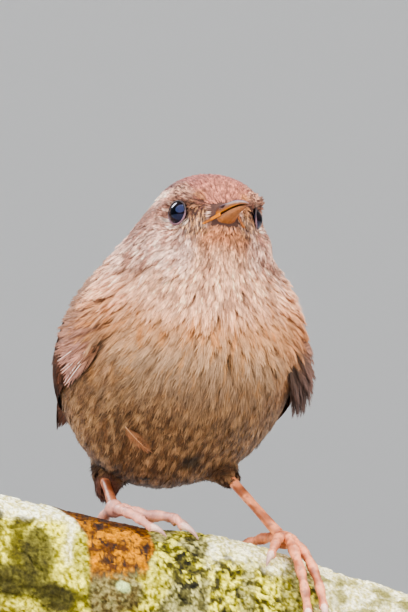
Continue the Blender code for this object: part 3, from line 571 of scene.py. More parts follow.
def spread(mesh_points, mesh_triangles, spacing_of, most, seed):
    """Points scattered evenly over a mesh, at least their own spacing apart."""
    rng = np.random.default_rng(seed)
    a, b, c = (mesh_points[mesh_triangles[:, k]] for k in range(3))
    areas = np.linalg.norm(np.cross(b - a, c - a), axis=1) / 2
    middles = (a + b + c) / 3
    weight = areas / spacing_of(middles) ** 2
    picked = rng.choice(len(areas), most, p=weight / weight.sum())
    r1, r2 = np.sqrt(rng.uniform(0, 1, most)), rng.uniform(0, 1, most)
    shares = (1 - r1, r1 * (1 - r2), r1 * r2)
    made = shares[0][:, None] * a[picked] + shares[1][:, None] * b[picked] + shares[2][:, None] * c[picked]
    spacing = spacing_of(made)
    cell = 1.2
    cells, kept = {}, []
    keys = np.floor(made / cell).astype(int)

    def crowded(i):
        x, y, z = keys[i]
        span = int(math.ceil(spacing[i] / cell))
        for dx, dy, dz in itertools.product(range(-span, span + 1), repeat=3):
            for j in cells.get((x + dx, y + dy, z + dz), ()):
                d = made[i] - made[j]
                if d @ d < spacing[i] * spacing[i]:
                    return True
        return False

    for i in range(most):
        if not crowded(i):
            kept.append(i)
            cells.setdefault(tuple(keys[i]), []).append(i)
    return made[kept]


def unwrapped(points):
    """OFBake places of roots: the head in one corner of the square, the body in the rest."""
    head, body = in_head(points) - HEAD_MIDDLE, in_body(points) - BODY_MIDDLE
    on_head = np.linalg.norm(head, axis=1) < 13.0
    q = unit(np.where(on_head[:, None], head @ np.array([[0, 0, 1], [0, 1, 0], [-1, 0, 0]]), body))
    u = np.arctan2(q[:, 1], q[:, 0]) / math.tau + 0.5
    v = (q[:, 2] + 1) / 2
    span_u, span_v = np.where(on_head, 0.55, 0.96), np.where(on_head, 0.36, 0.56)
    return np.stack([0.02 + u * span_u, np.where(on_head, 0.62, 0.02) + v * span_v], 1)


# The markings, with the body's painted shade and light, by the place of a root on the bird

CROWN = srgb(168, 106, 98)
CROWN_DARK = srgb(82, 48, 38)
CREAM = srgb(255, 226, 204)
CHEEK = srgb(255, 200, 178)
CHEEK_DARK = srgb(98, 56, 38)
CHIN = srgb(208, 144, 104)
THROAT = srgb(246, 194, 160)
BREAST = srgb(202, 155, 115)
BREAST_WARM = srgb(180, 124, 76)
SHOULDER = srgb(186, 127, 87)
# The belly's brown is darker than its own colour, with painted shade under the body in it
BELLY = srgb(122, 78, 46)
BELLY_PALE = srgb(206, 152, 104)
DASH = srgb(186, 124, 70)
# The vent's dark brown, also used for bars, and for painted shadow under the wings and before the vent
VENT_DARK_AND_SHADOW = srgb(44, 25, 11)
BACK = srgb(120, 68, 40)
BACK_DARK = srgb(56, 30, 18)
THIGH = srgb(58, 32, 16)
LILAC = srgb(206, 148, 132)

# The height of the pale stripe over the eye, by place forward
STRIPE = np.array(
    [(-14, -10, -8.2, -6.5, -3.7, -2, -0.2, 1.3, 3.0), (0.6, 1.6, 2.6, 3.6, 3.8, 3.85, 3.6, 2.8, 1.6)]
)

# Where the shadow under each wing's soft front coverts falls on the flank, in the body's frame
WING_GAP_RIGHT = np.array([(9.9, -15.7, 30.3), (7.4, -16.5, 28.2), (3.7, -17.4, 26.3), (-0.5, -18.1, 24.7)])
WING_GAP_LEFT = np.array([(12.0, 16.5, 32.0), (9.5, 17.3, 30.0), (7.0, 18.1, 27.6), (3.0, 18.6, 25.0)])


def line_distance(points, start, end):
    along = end - start
    t = np.clip((points - start) @ along / (along @ along), 0.0, 1.0)
    return np.linalg.norm(points - start - t[:, None] * along, axis=1)


def wing_gap(b):
    """How far places in the body's frame are from the shadow under either wing's soft coverts."""
    pairs = [pair for line in (WING_GAP_RIGHT, WING_GAP_LEFT) for pair in zip(line, line[1:])]
    return np.min([line_distance(b, start, end) for start, end in pairs], axis=0)


def body_markings_and_shade(roots):
    """The body's colour, its bars' colour and strength: buff breast, barred belly, brown back, with painted
    shade and light.
    """
    b = in_body(roots)
    bx, by, bz = b.T
    side = np.abs(by)
    n = steepest(roots)
    blotch, fine, tiny = noise(roots, 3.2, 1), noise(roots, 1.0, 2), noise(roots, 0.55, 6)
    height = bz + (blotch - 0.5) * 8.0 - 4.0 * ramp(side, 7.0, 14.0) * ramp(bz, 22.0, 28.0)
    # From belly up to breast the colour lightens: the plumage's own colours, with painted shade on the lower
    # body
    main = mixed(BELLY, BREAST, ramp(height, 21.0, 37.0))
    warm = 0.4 * ramp(fine, 0.58, 0.78) * ramp(height, 44, 34) * ramp(height, 18, 26)
    main = mixed(main, BREAST_WARM, warm)
    main = mixed(main, BELLY_PALE, 0.5 * ramp(tiny, 0.52, 0.78) * ramp(height, 36, 26))
    main = mixed(main, SHOULDER, ramp(side, 8.0, 14.0) * ramp(bz, 24, 32) * ramp(bz, 44, 38) * 0.8)
    main = mixed(main, THROAT * np.array([1.0, 1.04, 1.08]), ramp(bz + 2.0 * blotch, 38, 43) * 0.92)
    # Painted highlight: the sides of the neck are lighter
    main = main * (1.0 + 0.25 * ramp(side, 4.0, 9.0) * ramp(bz, 38, 43))[:, None]
    # Painted light: the right flank is lighter low down, on the side that faces the key light
    main = main * (1.0 + 0.6 * ramp(-by, 8.0, 14.0) * ramp(bz, 29.0, 23.0))[:, None]
    # Darker toward the bottom and under the rear: the lower belly's own darker colour, with painted shade
    # under the body
    main = mixed(main, BELLY * 0.62, ramp(bz, 17.0, 11.5) * 0.75)
    main = mixed(main, VENT_DARK_AND_SHADOW, ramp(bz, 18.0, 12.0) * ramp(bx, 0.0, -9.0) * 0.8)
    # Painted shadow before the vent
    main = mixed(main, VENT_DARK_AND_SHADOW * 0.3, ramp(apart(b, VENT_SHADOW_SPOT, (1.0, 1.3, 1.0)), 2.6, 0.8) * 0.8)
    # Painted shade: the body is darker through its middle height
    middle = ramp(bz, 17.0, 23.0) * ramp(bz, 38.0, 31.0)
    main = main * (1.0 - 0.13 * middle)[:, None]
    # Painted shadow along the gaps under the wings' soft coverts
    main = mixed(main, VENT_DARK_AND_SHADOW, ramp(wing_gap(b), 1.9, 0.7) * 0.92)
    bands = ramp(np.sin(math.tau * (bz + 0.35 * bx) / 2.2), 0.2, 0.8)
    main = mixed(main, VENT_DARK_AND_SHADOW, bands * ramp(apart(b, (-6.5, -10.5, 13.5)), 7.0, 3.5) * 0.7)
    back = ramp(n @ BODY[2] * 0.8 - n @ BODY[0] * 0.7, 0.25, 0.7)
    main = mixed(main, BACK, back)
    bars = (0.30 + 0.5 * ramp(bz, 30, 15) + 0.35 * back) * (0.55 + 0.9 * blotch)
    bar_colour = mixed(mixed(main * 0.42, BACK_DARK, back), VENT_DARK_AND_SHADOW, 0.4 * ramp(bz, 24, 12))
    return main, bar_colour, bars


def head_markings(roots):
    """The head's colour, with its stripe over the eye and mottled cheek, and how far its crown covers."""
    h = in_head(roots)
    hx, hy, hz = h.T
    flat = np.abs(hy)
    tiny = noise(roots, 0.55, 6)
    line = np.interp(hx, STRIPE[0], STRIPE[1])
    crown = np.maximum(ramp(hz - line, 0.1, 0.9), ramp(flat, 4.6, 3.4) * ramp(hz, -0.2, 1.0))
    head = mixed(CHEEK, CROWN, crown)
    speckle = ramp(noise(roots, 0.8, 5, (1.0, 1.0, 1.6)), 0.45, 0.66)
    head = mixed(head, mixed(CHEEK_DARK, CREAM, speckle), 0.55 * (1 - crown))
    head = mixed(head, srgb(204, 136, 108), 0.6 * crown * ramp(hx, 0.0, 3.0) * ramp(flat, 6.0, 3.0))
    fore = ramp(hx, 0.8, 2.0) * ramp(flat, 1.8, 3.0) * ramp(hz, -0.6, 0.4) * ramp(hz, 3.2, 2.0)
    head = mixed(head, mixed(CHEEK_DARK, BREAST_WARM, ramp(tiny, 0.4, 0.6)), fore * 0.8)
    below = ramp(hz, -1.9, -2.8) * ramp(flat, 5.6, 3.4)
    head = mixed(head, mixed(CHIN, THROAT, ramp(hz, -3.5, -6.5)), np.maximum(below, ramp(hz, -6.0, -9.0)))
    streak = ramp(noise(roots, 0.6, 8, (1.0, 1.0, 0.3)), 0.5, 0.7)
    head = mixed(head, CHEEK_DARK * 1.5, streak * 0.45 * ramp(hz, -2.4, -4.0) * (1 - crown))
    stripe = hump(hz, line, 0.42) * ramp(flat, 3.2, 5.0) * ramp(hx, 0.6, -2.6) * ramp(hx, -14, -9)
    stripe = stripe * (0.45 + 0.55 * ramp(-hx, 0.5, 3.0))
    head = mixed(head, CREAM, stripe)
    edge = hump(hz - line, 1.15, 0.45) * ramp(flat, 3.2, 5.0) * ramp(hx, 2.5, 0.5)
    head = mixed(head, CROWN_DARK, edge * 0.55)
    dark_line = hump(hz, 0.9, 1.5) * ramp(hx, -1.6, -2.6) * ramp(hx, -12, -8)
    head = mixed(head, CHEEK_DARK, dark_line * 0.75 * (0.5 + 0.5 * speckle))
    lores = ramp(hx, 0.9, 1.6) * ramp(hz, -3.6, -2.6) * ramp(hz, 1.4, 0.5) * ramp(flat, 2.2, 3.0)
    streaks = 0.5 + 0.5 * np.sin(math.tau * (flat / 0.46 + 0.12 * hz + 0.8 * noise(roots, 1.2, 10)))
    head = mixed(head, mixed(srgb(48, 30, 24), srgb(226, 172, 120), ramp(streaks, 0.35, 0.65)), lores * 0.7)
    before_eye = hump(hx, 1.7, 0.8) * ramp(hz, -1.0, 0.5) * ramp(hz, 3.0, 1.8)
    head = mixed(head, CHEEK_DARK, before_eye * 0.7 * ramp(flat, 3.4, 4.4))
    brow = ramp(hx, -2.6, -0.6) * ramp(hz, 1.6, 2.4) * ramp(hz, 5.2, 4.0) * ramp(flat, 3.0, 4.6)
    rays = 0.5 + 0.5 * np.sin(math.tau * (hz - 0.35 * hx) / 0.62)
    head = mixed(head, mixed(CROWN_DARK, srgb(226, 170, 142), ramp(rays, 0.3, 0.6)), brow * 0.85)
    ear = np.maximum(*(hump(apart(h, (-5.5, y, -1.0)), 0.0, 4.0) for y in (-9.0, 9.0)))
    head = mixed(head, srgb(140, 88, 70), ear * 0.8 * (1 - stripe))
    drops = ramp(noise(roots, 0.9, 14), 0.54, 0.68) * ramp(hz, -1.0, -3.0) * ramp(hz, -10.0, -7.5)
    drops = drops * ramp(flat, 3.0, 5.0)
    head = mixed(head, srgb(255, 214, 194), drops * 0.7 * (1 - crown))
    ring = from_eyes(roots)
    white = ramp(ring, 2.75, 2.4) * ramp(hz, -0.4, -1.3) * ramp(tiny, 0.35, 0.5)
    head = mixed(head, srgb(255, 236, 222), white * 0.95)
    head = mixed(head, CHEEK_DARK, ramp(ring, 3.0, 2.5) * ramp(hz, 0.6, 1.6) * 0.6)
    head = head * (1 - 0.28 * ramp(from_bill(roots), 7.5, 4.5) * ramp(flat, 1.5, 2.5) * (1 - crown))[:, None]
    pale_patch = hump(apart(h, (1.4, 7.2, -3.2)), 0.0, 2.2)
    return mixed(head, LILAC, pale_patch * 0.7 * ramp(tiny, 0.3, 0.6)), crown


def markings_and_shade(roots):
    """Each root's main colour, with the body's painted shade and light in it, its bars' colour, and how strong
    the bars are.
    """
    main, bar_colour, bars = body_markings_and_shade(roots)
    head, crown = head_markings(roots)
    on_head = on_head_share(roots)
    main = mixed(main, head, on_head)
    bars = bars * (1 - on_head) + (0.15 + 0.45 * crown) * on_head
    bar_colour = mixed(bar_colour, head * 0.45, on_head)
    for which, colour, at_foot in (("right", THIGH, 1.0), ("left", BELLY, 0.2)):
        near = apart(roots, LEGS[which]["thigh"][3])
        main = mixed(main, colour, ramp(near, 10.0, 5.0) * 0.8)
        main = mixed(main, srgb(150, 86, 66), ramp(near, 4.6, 3.2) * at_foot)
    tone = 0.82 + 0.36 * noise(roots, 1.6, 9)
    return main * tone[:, None], bar_colour * tone[:, None], bars


def shadows(points):
    """How much painted shadow darkens the coat at a place: before the vent and in the gaps under the wings'
    soft coverts.
    """
    b = in_body(points)
    vent = 0.85 * ramp(apart(b, VENT_SHADOW_SPOT, (1.0, 1.1, 0.7)), 2.9, 0.9)
    return np.maximum(vent, 0.88 * ramp(wing_gap(b), 1.7, 0.6))


def from_bill(points):
    """Millimetres from the bill's base, which the face's feathers lie back from."""
    return apart(in_head(points), BILL_BASE, (1.0, 0.8, 1.0))


def from_eyes(points):
    return np.minimum(*(apart(points, lid_frame(side)[0]) for side in (-1, 1)))


def on_head_share(points):
    """1 on the head, 0 on the body, and between the two at the neck."""
    return ramp(apart(in_head(points), HEAD_MIDDLE), 15.0, 11.0)


def feather_sizes(roots):
    """Spacing, length and width of the feathers, from tiny on the face to long on the belly."""
    eye = from_eyes(roots)
    by_eye = 0.02 + 0.5 * ramp(eye, 1.8, 9.0) + 0.5 * ramp(eye, 9.0, 18.0)
    grown = np.minimum(ramp(from_bill(roots), 0.8, 23.0), by_eye)
    spacing = 0.26 + 0.61 * grown**0.85
    spacing = spacing * (1.0 - 0.09 * ramp(in_body(roots)[:, 0], -2.0, 4.0))
    length = 1.1 + 6.1 * grown**0.95
    width = 0.34 + 2.3 * grown**0.9
    for leg in LEGS.values():
        near = ramp(apart(roots, leg["thigh"][3]), 7.0, 3.0)
        length = length * (1 - 0.68 * near)
        spacing = spacing * (1 - 0.45 * near)
        width = width * (1 - 0.50 * near)
    return spacing, length, width


def coat_depth(points):
    """How far the skin lies under the coat's outline."""
    eye = from_eyes(points)
    grown = np.minimum(ramp(from_bill(points), 1.5, 23.0), 0.05 + 0.95 * ramp(eye, 2.0, 16.0))
    return 0.30 + 1.7 * grown


def lie_of_coat(roots, normals):
    """The way that each feather points: back from the bill, then down and back to the tail."""
    hx, hy, hz = in_head(roots).T
    back = unit(roots - from_head(BILL_BASE))
    to_vent = unit(from_body((-27.0, 0.0, 17.0)) - roots)
    w = ramp(from_bill(roots), 7.0, 19.0)[:, None]
    way = back * (1 - w) + to_vent * w
    lores = (ramp(hx, 0.6, 1.8) * ramp(hz, 1.6, 0.6) * ramp(np.abs(hy), 2.0, 3.0))[:, None]
    way = way * (1 - 0.8 * lores) - HEAD[2] * 0.9 * lores
    for leg in LEGS.values():
        foot_end = np.array(leg["thigh"][3]) + np.array([0.0, -1.0, -4.0])
        w = ramp(apart(roots, leg["thigh"][2]), 8.0, 4.5)[:, None]
        way = way * (1 - w) + unit(foot_end - roots) * w
    way = unit(way) + 0.09 * RNG.normal(size=way.shape)
    return unit(way - normals * np.sum(way * normals, 1, keepdims=True))


def add_star(bm, centre, pole, segments, rings):
    """A ball around a centre, with each point drawn out to where the skin lies in its direction."""
    before = set(bm.verts)
    bmesh.ops.create_uvsphere(bm, u_segments=segments, v_segments=rings, radius=1.0)
    verts = [v for v in bm.verts if v not in before]
    turn = Vector((0, 0, 1)).rotation_difference(Vector(pole)).to_matrix()
    ways = np.array([turn @ v.co for v in verts])

    def under_skin(distances):
        p = centre + ways * distances
        return plumage(p) + coat_depth(p) <= 0

    near = np.zeros(len(ways))
    inside = np.ones(len(ways), bool)
    for step in np.arange(0.5, 50.0, 0.5):
        inside &= under_skin(step)
        near[inside] = step
    far = near + 0.5
    for _ in range(8):
        middle = (near + far) / 2
        hit = under_skin(middle[:, None])
        near, far = np.where(hit, middle, near), np.where(hit, far, middle)
    for vert, way, distance in zip(verts, ways, near):
        vert.co = Vector((centre + way * distance) * MM)


def make_skin():
    """One closed skin under the whole coat: stars drawn out to the skin's depth, joined and remeshed."""
    bm = bmesh.new()
    add_star(bm, from_body(BODY_MIDDLE), pitched(BODY, 38.0)[0], 120, 90)
    add_star(bm, from_body((10.0, 0.0, 44.5)), BODY[2], 100, 80)
    add_star(bm, from_head((-3.6, 0.0, -0.9)), HEAD[0], 120, 90)
    for leg in LEGS.values():
        radii = np.interp(np.linspace(0, 3, 12), range(4), leg["thigh_radii"])
        add_tube(bm, smooth_path(leg["thigh"], 12), radii - 0.9, 20)
    obj = mesh_object("skin", bm, smooth=False)
    remesh = obj.modifiers.new("Remesh", "REMESH")
    remesh.mode = "VOXEL"
    remesh.voxel_size = SKIN_VOXEL * MM
    bpy.context.view_layer.update()
    graph = bpy.context.evaluated_depsgraph_get()
    made = bpy.data.meshes.new_from_object(obj.evaluated_get(graph))
    obj.modifiers.clear()
    obj.data = made
    bm = bmesh.new()
    bm.from_mesh(made)
    bmesh.ops.triangulate(bm, faces=bm.faces)
    for _ in range(3):
        bmesh.ops.smooth_vert(
            bm, verts=bm.verts, factor=0.5, use_axis_x=True, use_axis_y=True, use_axis_z=True
        )
    bm.to_mesh(made)
    bm.free()
    points = points_of(made)
    triangles = np.empty(len(made.polygons) * 3, np.int32)
    made.polygons.foreach_get("vertices", triangles)
    main, _, _ = markings_and_shade(points)
    # Painted shade: the skin darkens around the bill's base, where bill and feathers meet
    main = mixed(main, srgb(92, 62, 52), ramp(from_bill(points), 4.8, 3.2))
    set_tint(made, main * 0.72)
    made.shade_smooth()
    material = tinted("skin", 0.8, 1500, 0.25, 0.2)
    dress(obj, material, "body_plumage", "head", "neck", "torso", "thigh_left", "thigh_right")
    return points, triangles.reshape(-1, 3)


def coat_roots(points, triangles):
    """Where the coat's feathers grow: all over the skin, but for the eyes and the bill."""
    roots = spread(points, triangles, lambda p: feather_sizes(p)[0], MOST_TRIES, 3)
    hx, hy, hz = in_head(roots).T
    off_bill = (hx < 3.3) | (np.abs(hy) > 2.1) | (hz < -2.4) | (hz > 0.8)
    return roots[(from_eyes(roots) > EYE_OPENING + 0.12) & off_bill]


def make_coat(points, triangles, wing_fronts):
    """The contour feathers over the whole skin, in pieces by their place on the bird."""
    roots = coat_roots(points, triangles)
    normals = steepest(roots)
    way = lie_of_coat(roots, normals)
    _, length, width = feather_sizes(roots)
    length = length * RNG.uniform(0.85, 1.15, len(roots))
    width = width * RNG.uniform(0.85, 1.15, len(roots))
    depth = coat_depth(roots)
    # Feathers just ahead of a folded wing lie over its front edge
    tree = kdtree.KDTree(len(wing_fronts))
    for k, p in enumerate(wing_fronts):
        tree.insert(p, k)
    tree.balance()
    over_wing = np.array([ramp(tree.find(r)[2], 7.5, 3.0) for r in roots])
    tuft = ramp(apart(in_head(roots), (0.2, 7.6, 3.0)), 1.9, 0.6)
    length = length * (1 + 0.35 * over_wing)
    length = length * (1 + 0.6 * tuft)
    loose = np.abs(RNG.normal(0, 0.11, len(roots))) * ramp(length, 2.0, 6.0) - 0.12 + 0.9 * tuft
    lines, ups = [roots], [normals]
    p = roots
    for k in range(1, COAT_STATIONS):
        t = k / (COAT_STATIONS - 1)
        p = p + way * (length / (COAT_STATIONS - 1))[:, None]
        n = steepest(p)
        goal = -depth * (1 - ramp(t, 0.0, 0.75)) + loose * t + 1.7 * over_wing * ramp(t, 0.25, 1.0)
        p = p - n * (coat_outline(p) - goal)[:, None] * 0.9
        way = unit(way - n * np.sum(way * n, 1, keepdims=True))
        lines.append(p)
        ups.append(n)
    lines, ups = np.stack(lines, 1), np.stack(ups, 1)
    main, dark, bars = markings_and_shade(roots)
    patches = unwrapped(roots)
    phase = RNG.uniform(0, 1, len(roots))
    shade = RNG.uniform(0.88, 1.12, len(roots))
    head_share = on_head_share(roots)
    barred_share = ramp(in_body(roots)[:, 2], 35, 22) * (1 - head_share)

    def tints(index, t, share, place):
        verm, head, bar_colour = barred_share[index], head_share[index], dark[index]
        flat_place = place.reshape(-1, 3)
        wave = np.sin(math.tau * (t * 2.6 + phase[index] * 0.35 + 0.18 * share**2))
        colour = mixed(main[index], bar_colour, ramp(wave, 0.1, 0.75) * bars[index] * ramp(t, 0.25, 0.5))
        colour = mixed(colour, main[index] * 0.6, hump(share, 0.0, 0.12) * 0.2)
        up = in_body(flat_place)[:, 2].reshape(t.shape)
        coarse = noise(place, 1.1, 51)
        ripple = np.sin(math.tau * up / 0.9 + 9.0 * coarse)
        wavy = ramp(ripple, 0.2, 0.7) * verm * 0.85 * ramp(coarse, 0.25, 0.55)
        colour = mixed(colour, bar_colour * 0.7, wavy)
        spot = noise(place, 0.8, 54, (1.0, 1.0, 0.75))
        colour = mixed(colour, BELLY_PALE, ramp(spot, 0.52, 0.72) * verm * 0.65)
        dash = noise(place, 0.6, 53, (1.0, 1.0, 0.2))
        colour = mixed(colour, DASH, ramp(dash, 0.68, 0.78) * 0.75 * (1 - head) * (1 - 0.7 * verm))
        grit = noise(place, 0.3, 55, (1.0, 1.0, 0.6))
        colour = mixed(colour, bar_colour * 0.8, ramp(grit, 0.50, 0.64) * head * 0.7)
        colour = mixed(colour, colour * 1.5, ramp(grit, 0.40, 0.25) * head * 0.7)
        base = 0.78 + 0.22 * ramp(t, 0.0, 0.45)
        # Painted shade: the body's coat darkens low down, away from the light above
        base = base * (1.0 - 0.38 * ramp(up, 31.0, 22.0) * (1 - head))
        base = base * (1.0 - shadows(flat_place).reshape(t.shape))
        grain = noise(place, 0.42, 52, (1.0, 1.0, 0.45))
        jitter = (0.80 + 0.40 * grain) * (1.0 + (0.16 + 0.16 * head) * RNG.uniform(-1, 1, t.shape))
        warm = mixed(np.array([0.98, 1.08, 1.18]), np.array([0.95, 0.845, 0.76]), ramp(up, 27.0, 34.0))
        colour = colour * (warm + (1 - warm) * 0.4 * head[..., None])
        knee = apart(place, LEGS["right"]["thigh"][3])
        colour = mixed(colour, srgb(140, 82, 62), ramp(knee, 3.3, 2.0) * 0.8)
        return colour * (base * jitter * shade[index])[..., None]

    b = in_body(roots)
    on_head = apart(in_head(roots), HEAD_MIDDLE) < 12.5
    front, right = b[:, 0] > 0, b[:, 1] < 0
    face = on_head & (length < 2.6)
    breast_look, back_look = (0.62, 0.15, 0.45, 0.14, 0.10), (0.62, 0.16, 0.45, 0.14, 0.10)
    groups = {
        "face_feathers": (face, 7, (0.55, 0.09, 0.45, 0.05, 0.03)),
        "head_feathers": (on_head & ~face, 16, (0.60, 0.12, 0.45, 0.08, 0.08)),
        "breast_feathers_right": (~on_head & front & right, 30, breast_look),
        "breast_feathers_left": (~on_head & front & ~right, 30, breast_look),
        "back_feathers_right": (~on_head & ~front & right, 28, back_look),
        "back_feathers_left": (~on_head & ~front & ~right, 28, back_look),
    }
    material = tinted("coat", 0.62, 1600, 0.12, 0.0, 0.1, 0.25)
    for name, (chosen, barbs, look) in groups.items():
        pick = np.where(chosen)[0]
        made = feathers(
            lines[pick], ups[pick], width[pick], barbs, look,
            lambda i, t, s, p, pick=pick: tints(pick[i], t, s, p), patches[pick],
        )
        slot = "head_plumage" if on_head[pick].any() else "body_plumage"
        dress(array_object(name, *made), material, slot)


def make_strays():
    """A loose feather that lies across the belly, from one named place in the body's frame to another."""
    start, end = from_body((6.6, -9.6, 17.4)), from_body((4.2, -4.6, 14.4))
    width, lift, colour, barbs = 3.8, 0.2, srgb(140, 94, 64), 60
    t = np.linspace(0, 1, 8)[:, None]
    line = start * (1 - t) + end * t
    for _ in range(3):
        n = steepest(line)
        line = line - n * (coat_outline(line) - (0.1 + lift * t[:, 0] ** 1.5))[:, None] * 0.9
    patch = unwrapped(line[:1])

    def tints(index, t, share, place):
        return colour * (0.8 + 0.4 * noise(place, 0.4, 71))[..., None]

    look = (0.45, 0.15, 0.4, 0.10, 0.10)
    parts = [
        feathers(line[None], n[None], np.array([width]), barbs, look, tints, patch),
        shafts(line[None], n[None], 0.06, srgb(206, 164, 130), patch),
    ]
    dress(array_object("stray_feathers", *merged(parts)), tinted("strays", 0.6, 1600, 0.12), "body_plumage")


# Wings and tail


def wing_grid(side):
    """The sheet that a folded wing lies on, as a grid of points and normals, as in part.py."""
    droop = math.radians(WING_DROOP)
    way = np.array([-math.cos(droop), 0.0, -math.sin(droop)])
    over = np.array([-math.sin(droop), 0.0, math.cos(droop)])
    start = np.array([WING_BEND[0], 0.0, WING_BEND[1]])
    low, cell, counts = np.array([-3.0, -4.0]), 1.0, np.array([55, 25])
    a, b = np.meshgrid(*(low[k] + cell * np.arange(counts[k]) for k in (0, 1)), indexing="ij")
    a, b = a.ravel(), b.ravel()
    p = start + a[:, None] * way + b[:, None] * over
    roll = np.maximum(b - 2.0, 0.0) / WING_DEPTH
    p[:, 1] = side * (16.8 - 4.6 * (np.maximum(a - 14.0, 0.0) / 33.0) ** 1.6 - 6.0 * roll**2)
    world = from_body(p)
    hold = np.clip((a - 12.0) / 24.0, 0.0, 1.0)
    for _ in range(10):
        away = plumage(world) - WING_CLEARANCE
        away = np.where(away > 0, away * (1.0 - hold**1.5), away)
        world = world - steepest(world, plumage) * away[:, None] * 0.8
    world = world.reshape(*counts, 3)
    for _ in range(5):
        inner = world[1:-1, 1:-1]
        around = world[:-2, 1:-1] + world[2:, 1:-1] + world[1:-1, :-2] + world[1:-1, 2:]
        world[1:-1, 1:-1] = (inner * 2 + around) / 6
    normals = np.cross(np.gradient(world, axis=0), np.gradient(world, axis=1))
    normals *= side * np.sign(normals[25, 10] @ BODY[1])
    return low, cell, counts, world, unit(normals)


def on_grid(grid, a, b, lift):
    """Points and normals of a sheet at arrays of lengths a and b, this far above it."""
    low, cell, counts, world, normals = grid
    u = np.clip((a - low[0]) / cell, 0, counts[0] - 1.001)
    v = np.clip((b - low[1]) / cell, 0, counts[1] - 1.001)
    i, j = u.astype(int), v.astype(int)
    s, t = (u - i)[..., None], (v - j)[..., None]

    def between(g):
        low_row = g[i, j] * (1 - s) + g[i + 1, j] * s
        high_row = g[i, j + 1] * (1 - s) + g[i + 1, j + 1] * s
        return low_row * (1 - t) + high_row * t

    normal = unit(between(normals))
    return between(world) + normal * np.asarray(lift)[..., None], normal


def tail_sheet(a, b, lift):
    rise = math.radians(TAIL_RISE)
    curl = 0.0035 * a * a
    out = np.array([math.sin(rise), 0.0, math.cos(rise)])
    way = np.array([-math.cos(rise), 0.0, math.sin(rise)])
    root = np.array([TAIL_ROOT[0], 0.0, TAIL_ROOT[1]])
    p = root + way * a[..., None] + out * (lift + curl - 0.018 * b * b)[..., None]
    p = p + np.array([0.0, 1.0, 0.0]) * b[..., None]
    return from_body(p), np.broadcast_to(out @ BODY, p.shape)


def quill_rows(rows, sheet):
    """Lines, normals and widths for rows of (root, tip, width, root lift, tip lift, bow)."""
    t = np.linspace(0, 1, 13)
    lines, normals, widths = [], [], []
    for root, tip, width, low, high, bow in rows:
        root, tip = np.asarray(root, float), np.asarray(tip, float)
        way = (tip - root) / np.linalg.norm(tip - root)
        side = np.array([-way[1], way[0]])
        flat = root + (tip - root) * t[:, None] + side * bow * np.sin(math.pi * t)[:, None]
        points, ups = sheet(flat[:, 0], flat[:, 1], low + (high - low) * t)
        lines.append(points)
        normals.append(ups)
        widths.append(width)
    return np.stack(lines), np.stack(normals), np.array(widths, float)


def shafts(lines, normals, radius, colour, patches):
    """A thin raised shaft along each feather."""
    count, stations = lines.shape[:2]
    way = unit(np.gradient(lines, axis=1))
    over = unit(np.cross(normals, way))
    size = radius * (1.0 - 0.75 * np.linspace(0, 1, stations))[None, :, None]
    ring = [lines - over * size, lines + normals * size * 1.1, lines + over * size]
    points = np.stack(ring, 2).reshape(-1, 3)
    starts = [3 * k + m for k in range(stations - 1) for m in range(2)]
    pattern = np.array([face for a in starts for face in ((a, a + 1, a + 4), (a, a + 4, a + 3))])
    base = (np.arange(count) * 3 * stations)[:, None, None]
    tints = np.broadcast_to(colour, points.shape).copy()
    return points, (base + pattern).reshape(-1, 3), tints, np.repeat(patches, 3 * stations, axis=0)


def merged(parts):
    """Several parts' points, triangles, tints and OFBake places as one."""
    points, triangles, tints, places = zip(*parts)
    offsets = np.cumsum([0] + [len(p) for p in points[:-1]])
    triangles = [t + offset for t, offset in zip(triangles, offsets)]
    return tuple(np.concatenate(arrays) for arrays in (points, triangles, tints, places))


QUILL = srgb(84, 44, 21)
QUILL_DARK = srgb(44, 24, 12)
QUILL_PALE = srgb(160, 106, 66)


def barred(main, dark, pale, count, strength, pale_edge):
    """Tints of a barred flight feather: dark bars, and paler ones on its outer web."""

    def tints(index, t, share, place):
        wave = np.sin(math.tau * (t * count + 0.12 * np.abs(share) + 0.07 * index))
        colour = mixed(main, dark, ramp(wave, -0.15, 0.4) * strength)
        colour = mixed(colour, pale, ramp(-wave, 0.3, 0.8) * pale_edge * ramp(-share, 0.2, 0.5))
        jitter = 1.0 + 0.14 * RNG.uniform(-1, 1, t.shape)
        return colour * (jitter * (0.75 + 0.25 * ramp(t, 0, 0.4)))[..., None]

    return tints


# How the shoulder's coverts turn, in degrees, by their roots' breadth, and how far back their tips may reach
FAN_TURNS = ((0.0, 3.0, 5.0, 7.0, 15.0), (-22.0, -24.0, -14.0, -6.0, 10.0))
FAN_TIPS = ((-2.0, -1.0, 0.0, 3.4, 5.0, 8.0, 12.0, 20.0), (7.6, 8.6, 9.2, 10.4, 11.8, 11.0, 12.0, 14.0))


def fan_rows(flare, lowest, slope):
    """Soft coverts that fan back over the shoulder, and the ones over the wing's top edge."""
    rng = np.random.default_rng(12)
    rows = []
    for j in range(15):
        for i in range(20):
            a = -3.0 + 0.7 * j + rng.uniform(-0.35, 0.35)
            b = -0.5 + 0.9 * i + 0.45 * (j % 2) + rng.uniform(-0.3, 0.3)
            if b < lowest - slope * (a + 1.5) + 7.0 * slope * ramp(a, -0.8, -2.6):
                continue
            turn = math.radians(np.interp(b, *FAN_TURNS) + rng.uniform(-6, 6))
            length = 8.2 * rng.uniform(0.85, 1.15)
            tip = (a + length * math.cos(turn), b + length * math.sin(turn))
            if tip[0] > np.interp(tip[1], *FAN_TIPS) + rng.uniform(-0.6, 0.8):
                continue
            out = flare * max(0.0, 1.0 - abs(b - 4.5) / 5.5)
            low = -1.0 + 0.16 * (a + 3.0)
            high = 0.95 + 0.11 * (a + 3.0) + rng.uniform(-0.12, 0.12) + out
            rows.append(((a, b), tip, 2.7 * rng.uniform(0.85, 1.1), low, high, rng.uniform(-0.4, 0.4)))
    return rows


